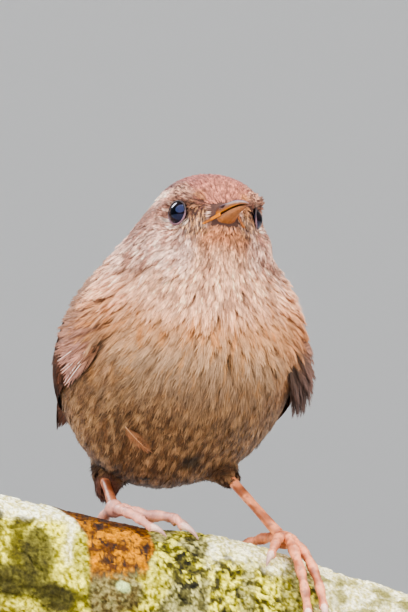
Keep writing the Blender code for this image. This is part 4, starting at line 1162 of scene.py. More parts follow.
# Each tier of quills: how many, the last one's step, and the tips' lengths from first to last. Then, for the
# first quill, its root (length, breadth), its tip's breadth, its width, the lift of root and tip, and its bow,
# and what each step adds to these
TIERS = {
    "primary": (
        10, 6, (39.5, 44.0, 46.6, 47.0, 46.2, 44.6, 42.6),
        (7.0, 2.0, 1.6, 3.6, 0.35, 0.35, -0.8), (0, 0.4, 0.9, 0, 0.06, 0.12, 0),
    ),
    "secondary": (
        6, 3, (40.5, 36.3),
        (8.0, 5.0, 7.6, 4.4, 0.75, 1.15, -0.6), (0, 1.2, 1.3, 0, 0.08, 0.12, 0),
    ),
    "tertial": (
        3, 2, (35.0, 31.0, 26.5),
        (9.0, 8.4, 11.2, 5.4, 0.95, 1.65, -0.4), (0, 1.1, 1.2, 0, 0.08, 0.14, 0),
    ),
    "primary_covert": (
        5, 1, (17.5, 16.5),
        (4.0, 2.0, 1.6, 2.2, 0.1, 0.75, 0.0), (0, 1.0, 2.0, 0, 0.2, 0.25, 0),
    ),
    "greater": (
        10, 5, (17.2, 15.7),
        (4.5, 3.8, 4.6, 2.8, 0.15, 1.10, 0.0), (0, 1.2, 1.6, 0, 0.05, 0.06, 0),
    ),
    "alula": (
        2, 1, (11.5, 9.0),
        (1.0, 2.2, 1.0, 2.0, 0.0, 0.35, 0.0), (0, 0.8, 1.0, -0.2, 0, 0.05, 0),
    ),
}

# Each tier's barbs and look, as feathers takes them, and its bars, as barred takes them
TIER_LOOKS = {
    "primary": (80, (0.16, 0.46, 0.80, 0.01, 0.12), (QUILL, QUILL_DARK, QUILL_PALE, 11, 0.85, 0.8)),
    "secondary": (76, (0.16, 0.46, 0.80, 0.01, 0.12), (QUILL, QUILL_DARK, QUILL_PALE, 11, 0.75, 0.3)),
    "tertial": (70, (0.18, 0.42, 0.72, 0.02, 0.14), (QUILL, QUILL_DARK, QUILL_PALE, 9, 0.7, 0.2)),
    "primary_covert": (34, (0.22, 0.34, 0.66, 0.03, 0.12), (QUILL, QUILL_DARK, QUILL_PALE, 3.5, 0.7, 0.5)),
    "greater": (38, (0.24, 0.34, 0.62, 0.04, 0.14), (QUILL * 1.1, QUILL_DARK, CREAM, 3.6, 0.65, 0.5)),
    "alula": (34, (0.20, 0.32, 0.66, 0.02, 0.12), (QUILL, QUILL_DARK, CREAM, 3.0, 0.6, 0.8)),
}


def tier_rows(count, span, tips, first, change):
    """One tier's rows, as quill_rows takes them."""
    rows = []
    for i in range(count):
        s = i / (count - 1) * span
        x, y, tip_y, width, low, high, bow = (at + s * add for at, add in zip(first, change))
        tip_x = np.interp(s, np.linspace(0, span, len(tips)), tips)
        rows.append(((x, y), (tip_x, tip_y), width, low, high, bow))
    return rows


def make_wing(side, grid):
    """A folded wing: its quills, the soft coverts over its shoulder, and the arm under them."""
    which = "right" if side < 0 else "left"

    def sheet(a, b, lift):
        return on_grid(grid, a, b, lift)

    parts = []
    for k, (name, (barbs, look, bars)) in enumerate(TIER_LOOKS.items()):
        lines, normals, widths = quill_rows(tier_rows(*TIERS[name]), sheet)
        bake_x = 0.05 + 0.09 * k + 0.004 * np.arange(len(lines)) % 0.08
        patches = np.stack([bake_x, 0.60 - side * 0.005 + 0 * widths], 1)
        parts.append(feathers(lines, normals, widths, barbs, look, barred(*bars), patches, 0.85))
        parts.append(shafts(lines, normals, 0.14, QUILL_DARK * 1.3, patches))
    wing = array_object("wing_feathers_" + which, *merged(parts))
    dress(wing, tinted(wing.name, 0.6, 1600, 0.12, 0.0, 0.0, 0.2), "wing_feather", "wing_" + which)
    make_shoulder(side, which, sheet)
    make_arm(which, grid)


def make_shoulder(side, which, sheet):
    """The soft shoulder coverts, paler and lilac toward the front and below."""
    rows = fan_rows(1.9, 1.0, 0.0) if side > 0 else fan_rows(0.6, 3.6, 0.32)
    lines, normals, widths = quill_rows(rows, sheet)
    a, b = np.array([row[0] for row in rows]).T
    pale = np.clip(ramp(b, 10.0, 4.0) * 0.85 + RNG.uniform(-0.12, 0.12, len(rows)), 0, 1)
    tone = RNG.uniform(0.85, 1.15, len(rows))
    # Depth is painted shade: it darkens all the coverts, and the left wing's lower ones most, in the shade by
    # the body
    depth = (1.0 - ramp(b, 7.5, 3.5) * 0.75) * 0.7 if side > 0 else np.full(len(rows), 0.8)

    def soft(index, t, share, place):
        colour = mixed(SHOULDER * 0.78, LILAC, pale[index] * (0.1 + 0.75 * ramp(t, 0.3, 0.95)))
        strand = noise(place, 0.5, 57, (1.0, 1.0, 0.5))
        colour = colour * ((0.40 + 0.86 * strand) * depth[index])[..., None]
        wave = np.sin(math.tau * (t * 2.2 + 0.37 * index))
        bar = ramp(wave, 0.2, 0.8) * 0.35 * (1 - pale[index]) * ramp(t, 0.3, 0.5)
        colour = mixed(colour, BACK_DARK * 1.6, bar)
        jitter = 1.0 + 0.2 * RNG.uniform(-1, 1, t.shape)
        return colour * (jitter * tone[index] * (0.6 + 0.4 * ramp(t, 0, 0.5)))[..., None]

    patches = np.stack([0.60 + 0.05 * (a + 3) / 11, 0.66 - side * 0.02 + 0.03 * b / 14], 1)
    parts = [feathers(lines, normals, widths, 30, (0.50, 0.16, 0.45, 0.10, 0.12), soft, patches, 0.1)]
    # White shafts stand out on the side that faces the camera
    white = (b < 4.8) & (RNG.uniform(0, 1, len(rows)) < 0.6) & (side < 0)
    raised = lines[white] + normals[white] * np.linspace(0.0, 0.45, 13)[None, :, None]
    parts.append(shafts(raised[:, 4:], normals[white][:, 4:], 0.055, srgb(255, 236, 226), patches[white]))
    shoulder = array_object("shoulder_feathers_" + which, *merged(parts))
    dress(shoulder, tinted(shoulder.name, 0.6, 1600, 0.12, 0.0, 0.1, 0.25), "wing_feather")


def make_arm(which, grid):
    """The arm under the coverts."""
    along, across = np.linspace(-1.5, 24.0, 26), np.linspace(-1.0, 1.0, 15)
    a, c = np.meshgrid(along, across, indexing="ij")
    t = (a + 1.5) / 25.5
    half = 5.8 * np.sin(math.pi * np.clip(t * 0.86 + 0.08, 0.06, 0.97)) ** 0.6
    crowned = (0.35 * (1 - c * c) ** 0.7) * np.sin(math.pi * (0.08 + 0.86 * t)) ** 0.5
    thick = crowned - 0.6 * np.abs(c) ** 4 - 0.45
    points, _ = on_grid(grid, a, 6.4 + 1.6 * t + c * half, thick)
    triangles = []
    for i in range(len(along) - 1):
        for j in range(len(across) - 1):
            p = i * len(across) + j
            q = p + len(across)
            triangles += [(p, p + 1, q + 1), (p, q + 1, q)]
    tint = np.broadcast_to(SHOULDER * 0.55, (points.size // 3, 3))
    arm = array_object("wing_arm_" + which, points.reshape(-1, 3), np.array(triangles), tint)
    dress(arm, tinted(arm.name, 0.8, 1500, 0.25), "wing_feather")


def make_tail():
    """Twelve barred tail feathers, and the soft coverts over and under their roots."""
    quills, coverts = [], []
    for i in (5, 4, 3, 2, 1, 0):
        turn = math.radians(1.6 + 3.1 * i)
        length = TAIL_LENGTH - 0.16 * i**2 - 0.3 * i
        for side in (-1, 1):
            root = (0.0, side * (0.6 + 0.35 * i))
            tip = (2.0 + length * math.cos(turn), side * (0.9 + length * math.sin(turn) * 0.82))
            quills.append((root, tip, 5.2, 0.5 - 0.12 * i, 0.45 - 0.30 * i - 0.05 * side, 0.3 * side))
    for j in range(3):
        for i in range(7):
            b = (i - 3) * 1.35
            lift = 1.5 - 0.10 * abs(b)
            for reach, low, high in ((9.0, lift - 0.6, lift + 0.1), (8.0, -lift + 0.6, -lift - 0.3)):
                tip = (reach + 3.0 * j - 0.3 * abs(b), b * 1.05)
                coverts.append(((-3.0 + 3.0 * j, b * 0.7), tip, 3.2, low, high, 0.0))
    lines, normals, widths = quill_rows(quills, tail_sheet)
    patches = np.stack([0.80 + 0.012 * np.arange(len(lines)), 0.70 + 0 * widths], 1)
    tints = barred(QUILL, QUILL_DARK, QUILL_PALE, 10.5, 0.8, 0.25)
    parts = [
        feathers(lines, normals, widths, 90, (0.14, 0.48, 0.82, 0.01, 0.10), tints, patches, 0.9),
        shafts(lines, normals, 0.18, QUILL_DARK * 1.3, patches),
    ]
    lines, normals, widths = quill_rows(coverts, tail_sheet)
    patches = np.stack([0.80 + 0.004 * np.arange(len(lines)), 0.75 + 0 * widths], 1)
    tints = barred(BACK * 1.1, BACK_DARK, QUILL_PALE, 2.4, 0.6, 0.1)
    parts.append(feathers(lines, normals, widths, 34, (0.34, 0.26, 0.5, 0.10, 0.14), tints, patches, 0.3))
    tail = array_object("tail_feathers", *merged(parts))
    dress(tail, tinted(tail.name, 0.5, 1600, 0.12, 0.0, 0.05, 0.35), "tail_feather", "tail")


# Bare parts


def smooth_path(points, count):
    """A smooth curve through some points, sampled at this many places."""
    p = np.asarray(points, float)
    p = np.concatenate([[2 * p[0] - p[1]], p, [2 * p[-1] - p[-2]]])
    made = []
    for t in np.linspace(0, len(points) - 1, count):
        i = min(int(t), len(points) - 2)
        s = t - i
        a, b, c, d = p[i : i + 4]
        made.append(
            0.5 * (2 * b + (c - a) * s + (2 * a - 5 * b + 4 * c - d) * s**2 + (3 * b - a - 3 * c + d) * s**3)
        )
    return np.array(made)


def join_rings(bm, rings, closed=False):
    """Faces from each ring of points to the next. The two ends are capped, or joined where closed."""
    for low, high in zip(rings, rings[1:] + rings[:1] if closed else rings[1:]):
        for j in range(len(low)):
            m = (j + 1) % len(low)
            bm.faces.new((low[j], low[m], high[m], high[j]))
    if not closed:
        bm.faces.new(rings[0][::-1])
        bm.faces.new(rings[-1])


def add_tube(bm, path, radii, sides, shape=None):
    """A closed tube added to a bmesh. Shape changes each ring's radius by its angle and station."""
    path = np.asarray(path)
    ways = unit(np.gradient(path, axis=0))
    up = np.array([0.0, 0.0, 1.0]) if abs(ways[0][2]) < 0.9 else np.array([0.0, 1.0, 0.0])
    rings = []
    for k, (place, way, radius) in enumerate(zip(path, ways, radii)):
        over = np.cross(way, up)
        over /= np.linalg.norm(over)
        up = np.cross(over, way)
        ring = []
        for j in range(sides):
            a = math.tau * j / sides
            r = radius * (1.0 if shape is None else shape(k, a))
            ring.append(bm.verts.new(Vector((place + (over * math.cos(a) + up * math.sin(a)) * r) * MM)))
        rings.append(ring)
    join_rings(bm, rings)


def mesh_object(name, bm, smooth=True):
    bmesh.ops.recalc_face_normals(bm, faces=bm.faces)
    mesh = bpy.data.meshes.new(name)
    bm.to_mesh(mesh)
    bm.free()
    if smooth:
        mesh.shade_smooth()
    return linked(name, mesh)


def paint_points(obj, function):
    """Stores a tint at each point of a mesh, from a function of the points in millimetres."""
    set_tint(obj.data, function(points_of(obj.data)))


# Stations of the bill in the head's frame: forward, half width, ridge or keel, and edge
UPPER_JAW = (
    (1.6, 2.6, 0.2, -1.0),
    (3.0, 2.1, 0.75, -0.95),
    (4.4, 1.75, 0.85, -0.95),
    (6.4, 1.35, 0.66, -0.90),
    (8.8, 0.98, 0.36, -0.84),
    (11.2, 0.62, -0.24, -1.02),
    (13.0, 0.34, -0.90, -1.36),
    (14.1, 0.12, -1.50, -1.70),
)
LOWER_JAW = (
    (1.6, 2.4, -2.5, -1.35),
    (3.0, 1.95, -2.45, -1.30),
    (4.4, 1.60, -2.35, -1.28),
    (6.4, 1.22, -2.12, -1.22),
    (8.8, 0.86, -1.86, -1.15),
    (11.2, 0.52, -1.86, -1.33),
    (12.8, 0.28, -1.92, -1.62),
    (13.6, 0.12, -1.98, -1.82),
)


def make_jaw(name, stations, node, slot, colour):
    """One half of the bill, with a nostril pressed into each side where it has a ridge above its edge."""
    bm = bmesh.new()
    rings = []
    for forward, half, ridge, edge in smooth_path(stations, 46):
        ring = []
        for a in np.linspace(0, math.pi, 21):
            side = half * math.cos(a)
            height = edge + (ridge - edge) * max(math.sin(a), 0.0) ** 0.8
            if ridge > edge and side != 0:
                d = ((forward - NOSTRIL[0]) / 0.8) ** 2 + ((height - NOSTRIL[1]) / 0.24) ** 2
                side *= 1.0 - 0.34 * math.exp(-d * 1.2)
            ring.append(bm.verts.new(Vector(from_head((forward, side, height)) * MM)))
        for share in (-0.6, -0.2, 0.2, 0.6):
            ring.append(bm.verts.new(Vector(from_head((forward, half * share, edge)) * MM)))
        rings.append(ring)
    join_rings(bm, rings)
    obj = mesh_object(name, bm)
    obj.data.set_sharp_from_angle(angle=math.radians(50))
    paint_points(obj, colour)
    dress(obj, tinted(name, 0.42, 1400, 0.16, 0.05, 0.0, 0.3), slot, node)


def on_jaw(points, stations):
    """Places in the head's frame, their share of the way from edge to ridge, and how far inside they are."""
    h = in_head(points)
    forward, half, ridge, edge = zip(*stations)
    half, ridge, edge = (np.interp(h[:, 0], forward, values) for values in (half, ridge, edge))
    rise = (h[:, 2] - edge) / (ridge - edge)
    inside = ramp(rise, 0.08, 0.0) * ramp(np.abs(h[:, 1]) / half, 0.95, 0.75)
    return h, rise, inside


def grained(points, colour, seed):
    """Fine streaks along the bill."""
    return colour * (0.80 + 0.40 * noise(in_head(points), 0.28, seed, (0.25, 1.0, 1.0)))[:, None]


def upper_tint(points):
    h, rise, inside = on_jaw(points, UPPER_JAW)
    colour = mixed(srgb(164, 98, 24), srgb(124, 74, 42), ramp(rise, 0.05, 0.25))
    shade = ramp(h[:, 0], 9.5, 5.5) * ramp(rise, 0.22, 0.40)
    colour = mixed(colour, srgb(84, 46, 30), shade * 0.85)
    colour = mixed(colour, srgb(58, 46, 56), ramp(rise, 0.50, 0.78))
    # Painted highlight: pale lilac along the ridge, from the middle of the bill to its tip
    colour = mixed(colour, srgb(134, 112, 150), ramp(rise, 0.84, 1.0) * ramp(h[:, 0], 6.5, 9.0))
    colour = mixed(colour, srgb(104, 62, 44), ramp(h[:, 0], 9.0, 13.5) * 0.8)
    nostril = hump(h[:, 0], NOSTRIL[0], 0.75) * hump(h[:, 2], NOSTRIL[1], 0.22)
    colour = mixed(colour, srgb(30, 18, 16), nostril * ramp(np.abs(h[:, 1]), 0.5, 0.9))
    # The faces inside the closed bill are dark: painted shade between the jaws
    return grained(points, mixed(colour, srgb(46, 22, 16), inside), 61)


def lower_tint(points):
    h, drop, inside = on_jaw(points, LOWER_JAW)
    colour = mixed(srgb(158, 108, 74), srgb(156, 98, 54), ramp(drop, 0.25, 0.75) * ramp(h[:, 0], 9.0, 5.0))
    # Painted shade along the mouth line near the base of the bill
    crease_shade = ramp(drop, 0.30, 0.10) * ramp(h[:, 0], 9.0, 6.0)
    colour = mixed(colour, srgb(96, 56, 50), crease_shade * 0.8)
    colour = mixed(colour, srgb(150, 96, 58), ramp(h[:, 0], 6.5, 10.5) * 0.9)
    # Painted shade: darker along the bill's underside
    colour = mixed(colour, srgb(92, 54, 24), ramp(drop, 0.72, 1.0) * 0.6)
    # Painted shade: darker on the bird's left side of the lower bill
    colour = mixed(colour, srgb(112, 60, 32), ramp(h[:, 1], 0.3, 1.1) * 0.75)
    colour = mixed(colour, srgb(96, 58, 44), ramp(h[:, 0], 11.0, 13.5) * 0.8)
    # The faces inside the closed bill are dark: painted shade between the jaws
    return grained(points, mixed(colour, srgb(46, 22, 16), inside), 62)


def make_gape():
    """The soft yellow edge of the mouth, from the bill back to both corners."""
    bm = bmesh.new()
    for side in (-1, 1):
        for height, radius in ((0.13, 0.16), (-0.15, 0.17)):
            path = []
            for t in np.linspace(0, 1, 14):
                forward = 5.6 + (GAPE[0] + 0.1 - 5.6) * t
                left = side * (1.52 + (GAPE[1] - 0.55 - 1.52) * t**1.25)
                up = MOUTH_AT_BILL[1] + (GAPE[2] - MOUTH_AT_BILL[1]) * t**1.3 + height * (1 - t)
                path.append(from_head((forward, left, up)))
            add_tube(bm, path, radius * (1.0 - 0.35 * np.linspace(0, 1, 14) ** 2), 10)
    obj = mesh_object("gape", bm)

    def lip_tint(points):
        h = in_head(points)
        colour = mixed(srgb(184, 106, 10), srgb(120, 66, 24), ramp(noise(points, 0.8, 3), 0.45, 0.75))
        # Painted shade: the lip on the bird's left side is darker
        return mixed(colour, srgb(128, 72, 40), 0.7 * ramp(h[:, 1], -1.0, 1.0))

    paint_points(obj, lip_tint)
    dress(obj, tinted("gape", 0.4, 1500, 0.15, 0.05, 0.0, 0.4), "bill_pale")


def make_eye(side):
    """The ball with its dark iris, and the two lids around its opening."""
    opening, look = lid_frame(side)
    middle = opening - look * math.sqrt(EYE_RADIUS**2 - EYE_OPENING**2)
    which = "eye_right" if side < 0 else "eye_left"
    bm = bmesh.new()
    bmesh.ops.create_uvsphere(bm, u_segments=64, v_segments=40, radius=1.0)
    turn = Vector((0, 0, 1)).rotation_difference(Vector(look)).to_matrix()
    for v in bm.verts:
        bulge = 1.0 + 0.03 * max(v.co.z, 0.0) ** 6 - 0.25 * float(ramp(v.co.z, 0.60, 0.40))
        v.co = Vector(middle * MM) + (turn @ v.co) * (EYE_RADIUS * MM * bulge)
    eye = mesh_object(which + "_ball", bm)

    def iris(points):
        ahead = (points - middle) @ look
        out = np.linalg.norm(points - middle - look * ahead[:, None], axis=1)
        ring = ramp(out, 0.95, 1.05) * ramp(out, 1.75, 1.6)
        return mixed(np.full((len(points), 3), 0.0015), srgb(22, 13, 10), ring * (ahead > 0))

    paint_points(eye, iris)
    material = tinted(which, 0.03, 2500, 0.2, 0.0, 0.0, 0.42)
    # The blue specular tint colours the eye's reflections like a blue sky: a painted reflection colour
    gloss = material.node_tree.nodes["Principled BSDF"].inputs
    gloss["Specular Tint"].default_value = (0.36, 0.46, 1.0, 1.0)
    dress(eye, material, "eye", which)
    make_lids(which + "_lids", opening, look)


def make_lids(name, opening, look):
    """Two bare, finely wrinkled rims that meet at the corners."""
    across = np.cross(look, HEAD[2])
    across /= np.linalg.norm(across)
    other = np.cross(look, across)
    bm = bmesh.new()
    rows = []
    for a in np.linspace(0, math.tau, 72, endpoint=False):
        out = across * math.cos(a) + other * math.sin(a)
        thick = 0.17 + 0.02 * math.sin(a * 23)
        row = []
        for b in np.linspace(0, math.tau, 10, endpoint=False):
            wide, high = EYE_OPENING + 0.03 + thick * math.cos(b), thick * math.sin(b) + 0.02
            p = opening + out * wide + look * high
            row.append(bm.verts.new(Vector(p * MM)))
        rows.append(row)
    join_rings(bm, rows, closed=True)
    lid = mesh_object(name, bm)

    def lid_tint(points):
        return mixed(srgb(44, 30, 30), srgb(138, 104, 112), ramp(in_head(points)[:, 2], 0.4, -1.2) * 0.8)

    paint_points(lid, lid_tint)
    dress(lid, tinted(name, 0.5, 3000, 0.2, 0.04, 0.0, 0.4), "head_plumage")


def perch_axis(x):
    x = np.asarray(x, float)
    y = PERCH_MIDDLE[1] + x * math.tan(math.radians(PERCH_SWING))
    z = PERCH_MIDDLE[2] - x * math.tan(math.radians(PERCH_DROP)) + PERCH_BOW * (1.0 - (x / 34.0) ** 2)
    return np.stack([x, y, z], -1)


def perch_radius(x, angle):
    taper = (np.asarray(x) / PERCH_HALF_LENGTH + 1) / 2
    base = PERCH_RADIUS_HIGH + (PERCH_RADIUS_LOW - PERCH_RADIUS_HIGH) * taper
    swell = np.sin(0.11 * x + 1.0) + 0.6 * np.sin(2 * angle + 0.13 * x)
    swell = swell + 0.5 * np.sin(3 * angle - 0.21 * x + 2.0)
    return base + BARK_DEPTH * swell


def on_perch(x, degrees, lift=0.0):
    angle = math.radians(degrees)
    r = perch_radius(x, angle) + lift
    return perch_axis(x) + np.array([0.0, -math.sin(angle), math.cos(angle)]) * r


def toe_route(toe, start, count):
    """The line along a toe's middle, from the foot over its stops on the perch."""
    _, stops, _ = toe
    points = [start] + [on_perch(x, a, TOE_RADIUS + GAP + 0.1 + lift) for x, a, lift in stops]
    return smooth_path(points, count)


def claw_path(route, length):
    """The line along a claw's middle: an arch from the toe's end down to the bark, kept out of it."""
    end = route[-1]
    way = route[-1] - route[-3]
    way /= np.linalg.norm(way)
    down = perch_axis(end[0]) - end
    down -= way * (down @ way)
    down /= np.linalg.norm(down)
    count = 22
    bend, arch = math.radians(62), math.radians(-34)
    radius = length / bend
    path = []
    for t in np.linspace(0, 1, count):
        a = arch + bend * t
        along = radius * (math.sin(a) - math.sin(arch))
        drop = radius * (math.cos(arch) - math.cos(a))
        path.append(end - way * 0.35 + way * along + down * drop)
    path = np.array(path)
    for _ in range(6):
        for i, p in enumerate(path):
            out = p - perch_axis(p[0])
            out[0] = 0.0
            high = np.linalg.norm(out)
            angle = math.atan2(-out[1], out[2])
            need = perch_radius(p[0], angle) + 0.25 + 0.5 * (1 - i / count)
            if high < need:
                path[i] = p + out / high * (need - high)
    return path


LEG_PALE = srgb(224, 142, 100)
LEG_DARK = srgb(158, 86, 50)


def leg_tint(points):
    colour = mixed(LEG_PALE, LEG_DARK, ramp(noise(points, 1.4, 11), 0.35, 0.75))
    return mixed(colour, srgb(120, 76, 60), 0.5 * ramp(noise(points, 0.5, 12), 0.68, 0.8))


def make_leg(which):
    leg = LEGS[which]
    heel, foot = leg["heel"], leg["foot"]
    shin = (foot - heel) / np.linalg.norm(foot - heel)
    # The right heel would stand out behind its thigh, so that shin starts inside the thigh's feathers
    starts, top = ((2.6, 3.2, 4.4), 0.95) if which == "right" else ((-0.8, 0.8, 3.2), HEEL_RADIUS)
    # The right shin is darker than the left: painted shade
    shin_shade, toe_paleness = (0.74, 0.42) if which == "right" else (1.0, 0.06)
    path = [heel + shin * s for s in starts] + [heel * 0.45 + foot * 0.55, foot - shin * 3.4, foot]
    radii = [top, top, TARSUS_RADIUS * 1.1, TARSUS_RADIUS, TARSUS_RADIUS * 1.12, TARSUS_RADIUS * 1.3]
    count = 90
    path = smooth_path(path, count)
    radii = np.interp(np.linspace(0, 5, count), range(6), radii)
    bm = bmesh.new()

    def scutes(k, a):
        saw = (k / count * 9.0) % 1.0
        front = max(0.0, math.cos(a - 1.2))
        return 1.0 + 0.06 * (saw - 0.5) * (0.3 + front)

    add_tube(bm, path, radii, 28, scutes)
    tarsus = mesh_object("shin_" + which, bm)
    paint_points(tarsus, lambda p: leg_tint(p) * shin_shade)
    material = tinted("leg_" + which, 0.42, 1800, 0.14, 0.06, 0.0, 0.45)
    skin = material.node_tree.nodes["Principled BSDF"].inputs
    skin["Subsurface Weight"].default_value = 0.15
    skin["Subsurface Radius"].default_value = (0.0008, 0.0003, 0.0002)
    dress(tarsus, material, "leg_scale", "tarsus_" + which)
    bm = bmesh.new()
    add_tube(bm, [foot + shin * s for s in (-1.6, -0.6, 0.4, 1.15)], [0.85, 1.45, 1.50, 0.9], 24)
    for toe in TOES[which]:
        name, stops, claw_length = toe
        joints = len(stops) + 1
        steps = 26 * joints
        route = toe_route(toe, foot, steps)
        t = np.linspace(0, 1, steps)
        size = TOE_RADIUS * (1.28 if name == "hind" else 1.2)
        radius = size * (1.12 - 0.34 * t) * (1 + 0.12 * np.cos(t * math.tau * joints))

        def scutes_on_toe(k, a, steps=steps, joints=joints):
            saw = (k / steps * joints * 4.0) % 1.0
            return 1.0 + 0.10 * (saw - 0.5)

        add_tube(bm, route, radius, 20, scutes_on_toe)
        make_claw(which + "_" + name, claw_path(route, claw_length), claw_length)
    toes = mesh_object("toes_" + which, bm)
    paint_points(toes, lambda p: mixed(leg_tint(p), srgb(240, 188, 178), toe_paleness))
    dress(toes, material, "leg_scale", "foot_" + which)


def make_claw(name, path, length):
    """A tapered claw, pale at its root and darker toward its point."""
    bm = bmesh.new()
    add_tube(bm, path, 0.64 * (1 - np.linspace(0, 1, len(path))) ** 0.75 + 0.05, 16)
    claw = mesh_object("nail_" + name, bm)

    def claw_tint(points):
        toward_point = ramp(apart(points, path[0]), 0.2 * length, 0.8 * length)
        return mixed(srgb(232, 190, 170), srgb(168, 128, 118), toward_point)

    paint_points(claw, claw_tint)
    dress(claw, tinted(claw.name, 0.3, 2000, 0.15, 0.03, 0.0, 0.5), "claw", "claw_" + name)


def make_perch():
    """The branch: bark with crust and cracks, pressed flat under the toes, and sawn ends with rings."""
    around, along = 280, 560
    x = np.linspace(-PERCH_HALF_LENGTH, PERCH_HALF_LENGTH, along)
    angle = np.linspace(0, math.tau, around, endpoint=False)
    gx, ga = np.meshgrid(x, angle, indexing="ij")
    out = np.stack([0 * ga, -np.sin(ga), np.cos(ga)], -1)
    flat = (perch_axis(gx) + out * perch_radius(gx, ga)[..., None]).reshape(-1, 3)
    crust = ramp(mottle(flat, 2.4, 21), 0.46, 0.60)
    crack = np.abs(mottle(flat * np.array([0.35, 1, 1]), 2.2, 23) - 0.5)
    rough = -0.55 * hump(crack, 0.0, 0.035) + 0.30 * crust + 0.18 * (noise(flat, 0.45, 24) - 0.5) - 0.30
    near_foot = np.zeros(len(flat))
    for which in LEGS:
        for toe in TOES[which]:
            for p in toe_route(toe, LEGS[which]["foot"], 12)[3:]:
                near_foot = np.maximum(near_foot, ramp(apart(flat, p), 2.6, 1.2))
    rough = rough * (1 - near_foot) + near_foot * np.minimum(rough, -0.1)
    flat = flat + out.reshape(-1, 3) * rough[:, None]
    rows = np.arange(along - 1)[:, None] * around
    cols = np.arange(around)[None, :]
    a, b = rows + cols, rows + (cols + 1) % around
    c, d = a + around, b + around
    triangles = [np.stack(corners, -1).reshape(-1, 3) for corners in ((a, b, d), (a, d, c))]
    for row, turn in ((0, -1), (along - 1, 1)):
        rim = flat[row * around : (row + 1) * around]
        centre = perch_axis(x[row])
        previous = row * around + np.arange(around)
        for share in (0.97, 0.9, 0.8, 0.7, 0.6, 0.5, 0.4, 0.3, 0.2, 0.1):
            ring = centre + (rim - centre) * share
            ring[:, 0] += -turn * END_HOLLOW * (share < 0.95)
            inner = len(flat) + np.arange(around)
            flat = np.concatenate([flat, ring])
            p0, p1, q0, q1 = previous, np.roll(previous, -1), inner, np.roll(inner, -1)
            pair = [(p0, p1, q1), (p0, q1, q0)] if turn > 0 else [(p0, q1, p1), (p0, q0, q1)]
            triangles += [np.stack(corners, -1) for corners in pair]
            previous = inner
        flat = np.concatenate([flat, centre[None] + np.array([[-turn * END_HOLLOW, 0.0, 0.0]])])
        middle, following = np.full(around, len(flat) - 1), np.roll(previous, -1)
        last = [previous, following, middle] if turn > 0 else [previous, middle, following]
        triangles.append(np.stack(last, -1))
    cut = np.arange(len(flat)) >= around * along
    from_axis = np.linalg.norm((flat - perch_axis(flat[:, 0]))[:, 1:], axis=1)
    rings = 0.5 + 0.5 * np.sin(math.tau * (from_axis + 0.6 * noise(flat, 5.0, 41)) / 1.25)
    wood = mixed(srgb(206, 164, 108), srgb(156, 108, 62), rings)
    wood = mixed(wood, srgb(84, 60, 38), ramp(from_axis, 11.3, 12.0))
    tint = np.where(cut[:, None], wood, bark_tint(flat))
    branch = array_object("branch", flat, np.concatenate(triangles), tint)
    dress(branch, tinted("branch", 0.88, 2400, 0.42, 0.30, 0.0, 0.2), "bark", "perch")


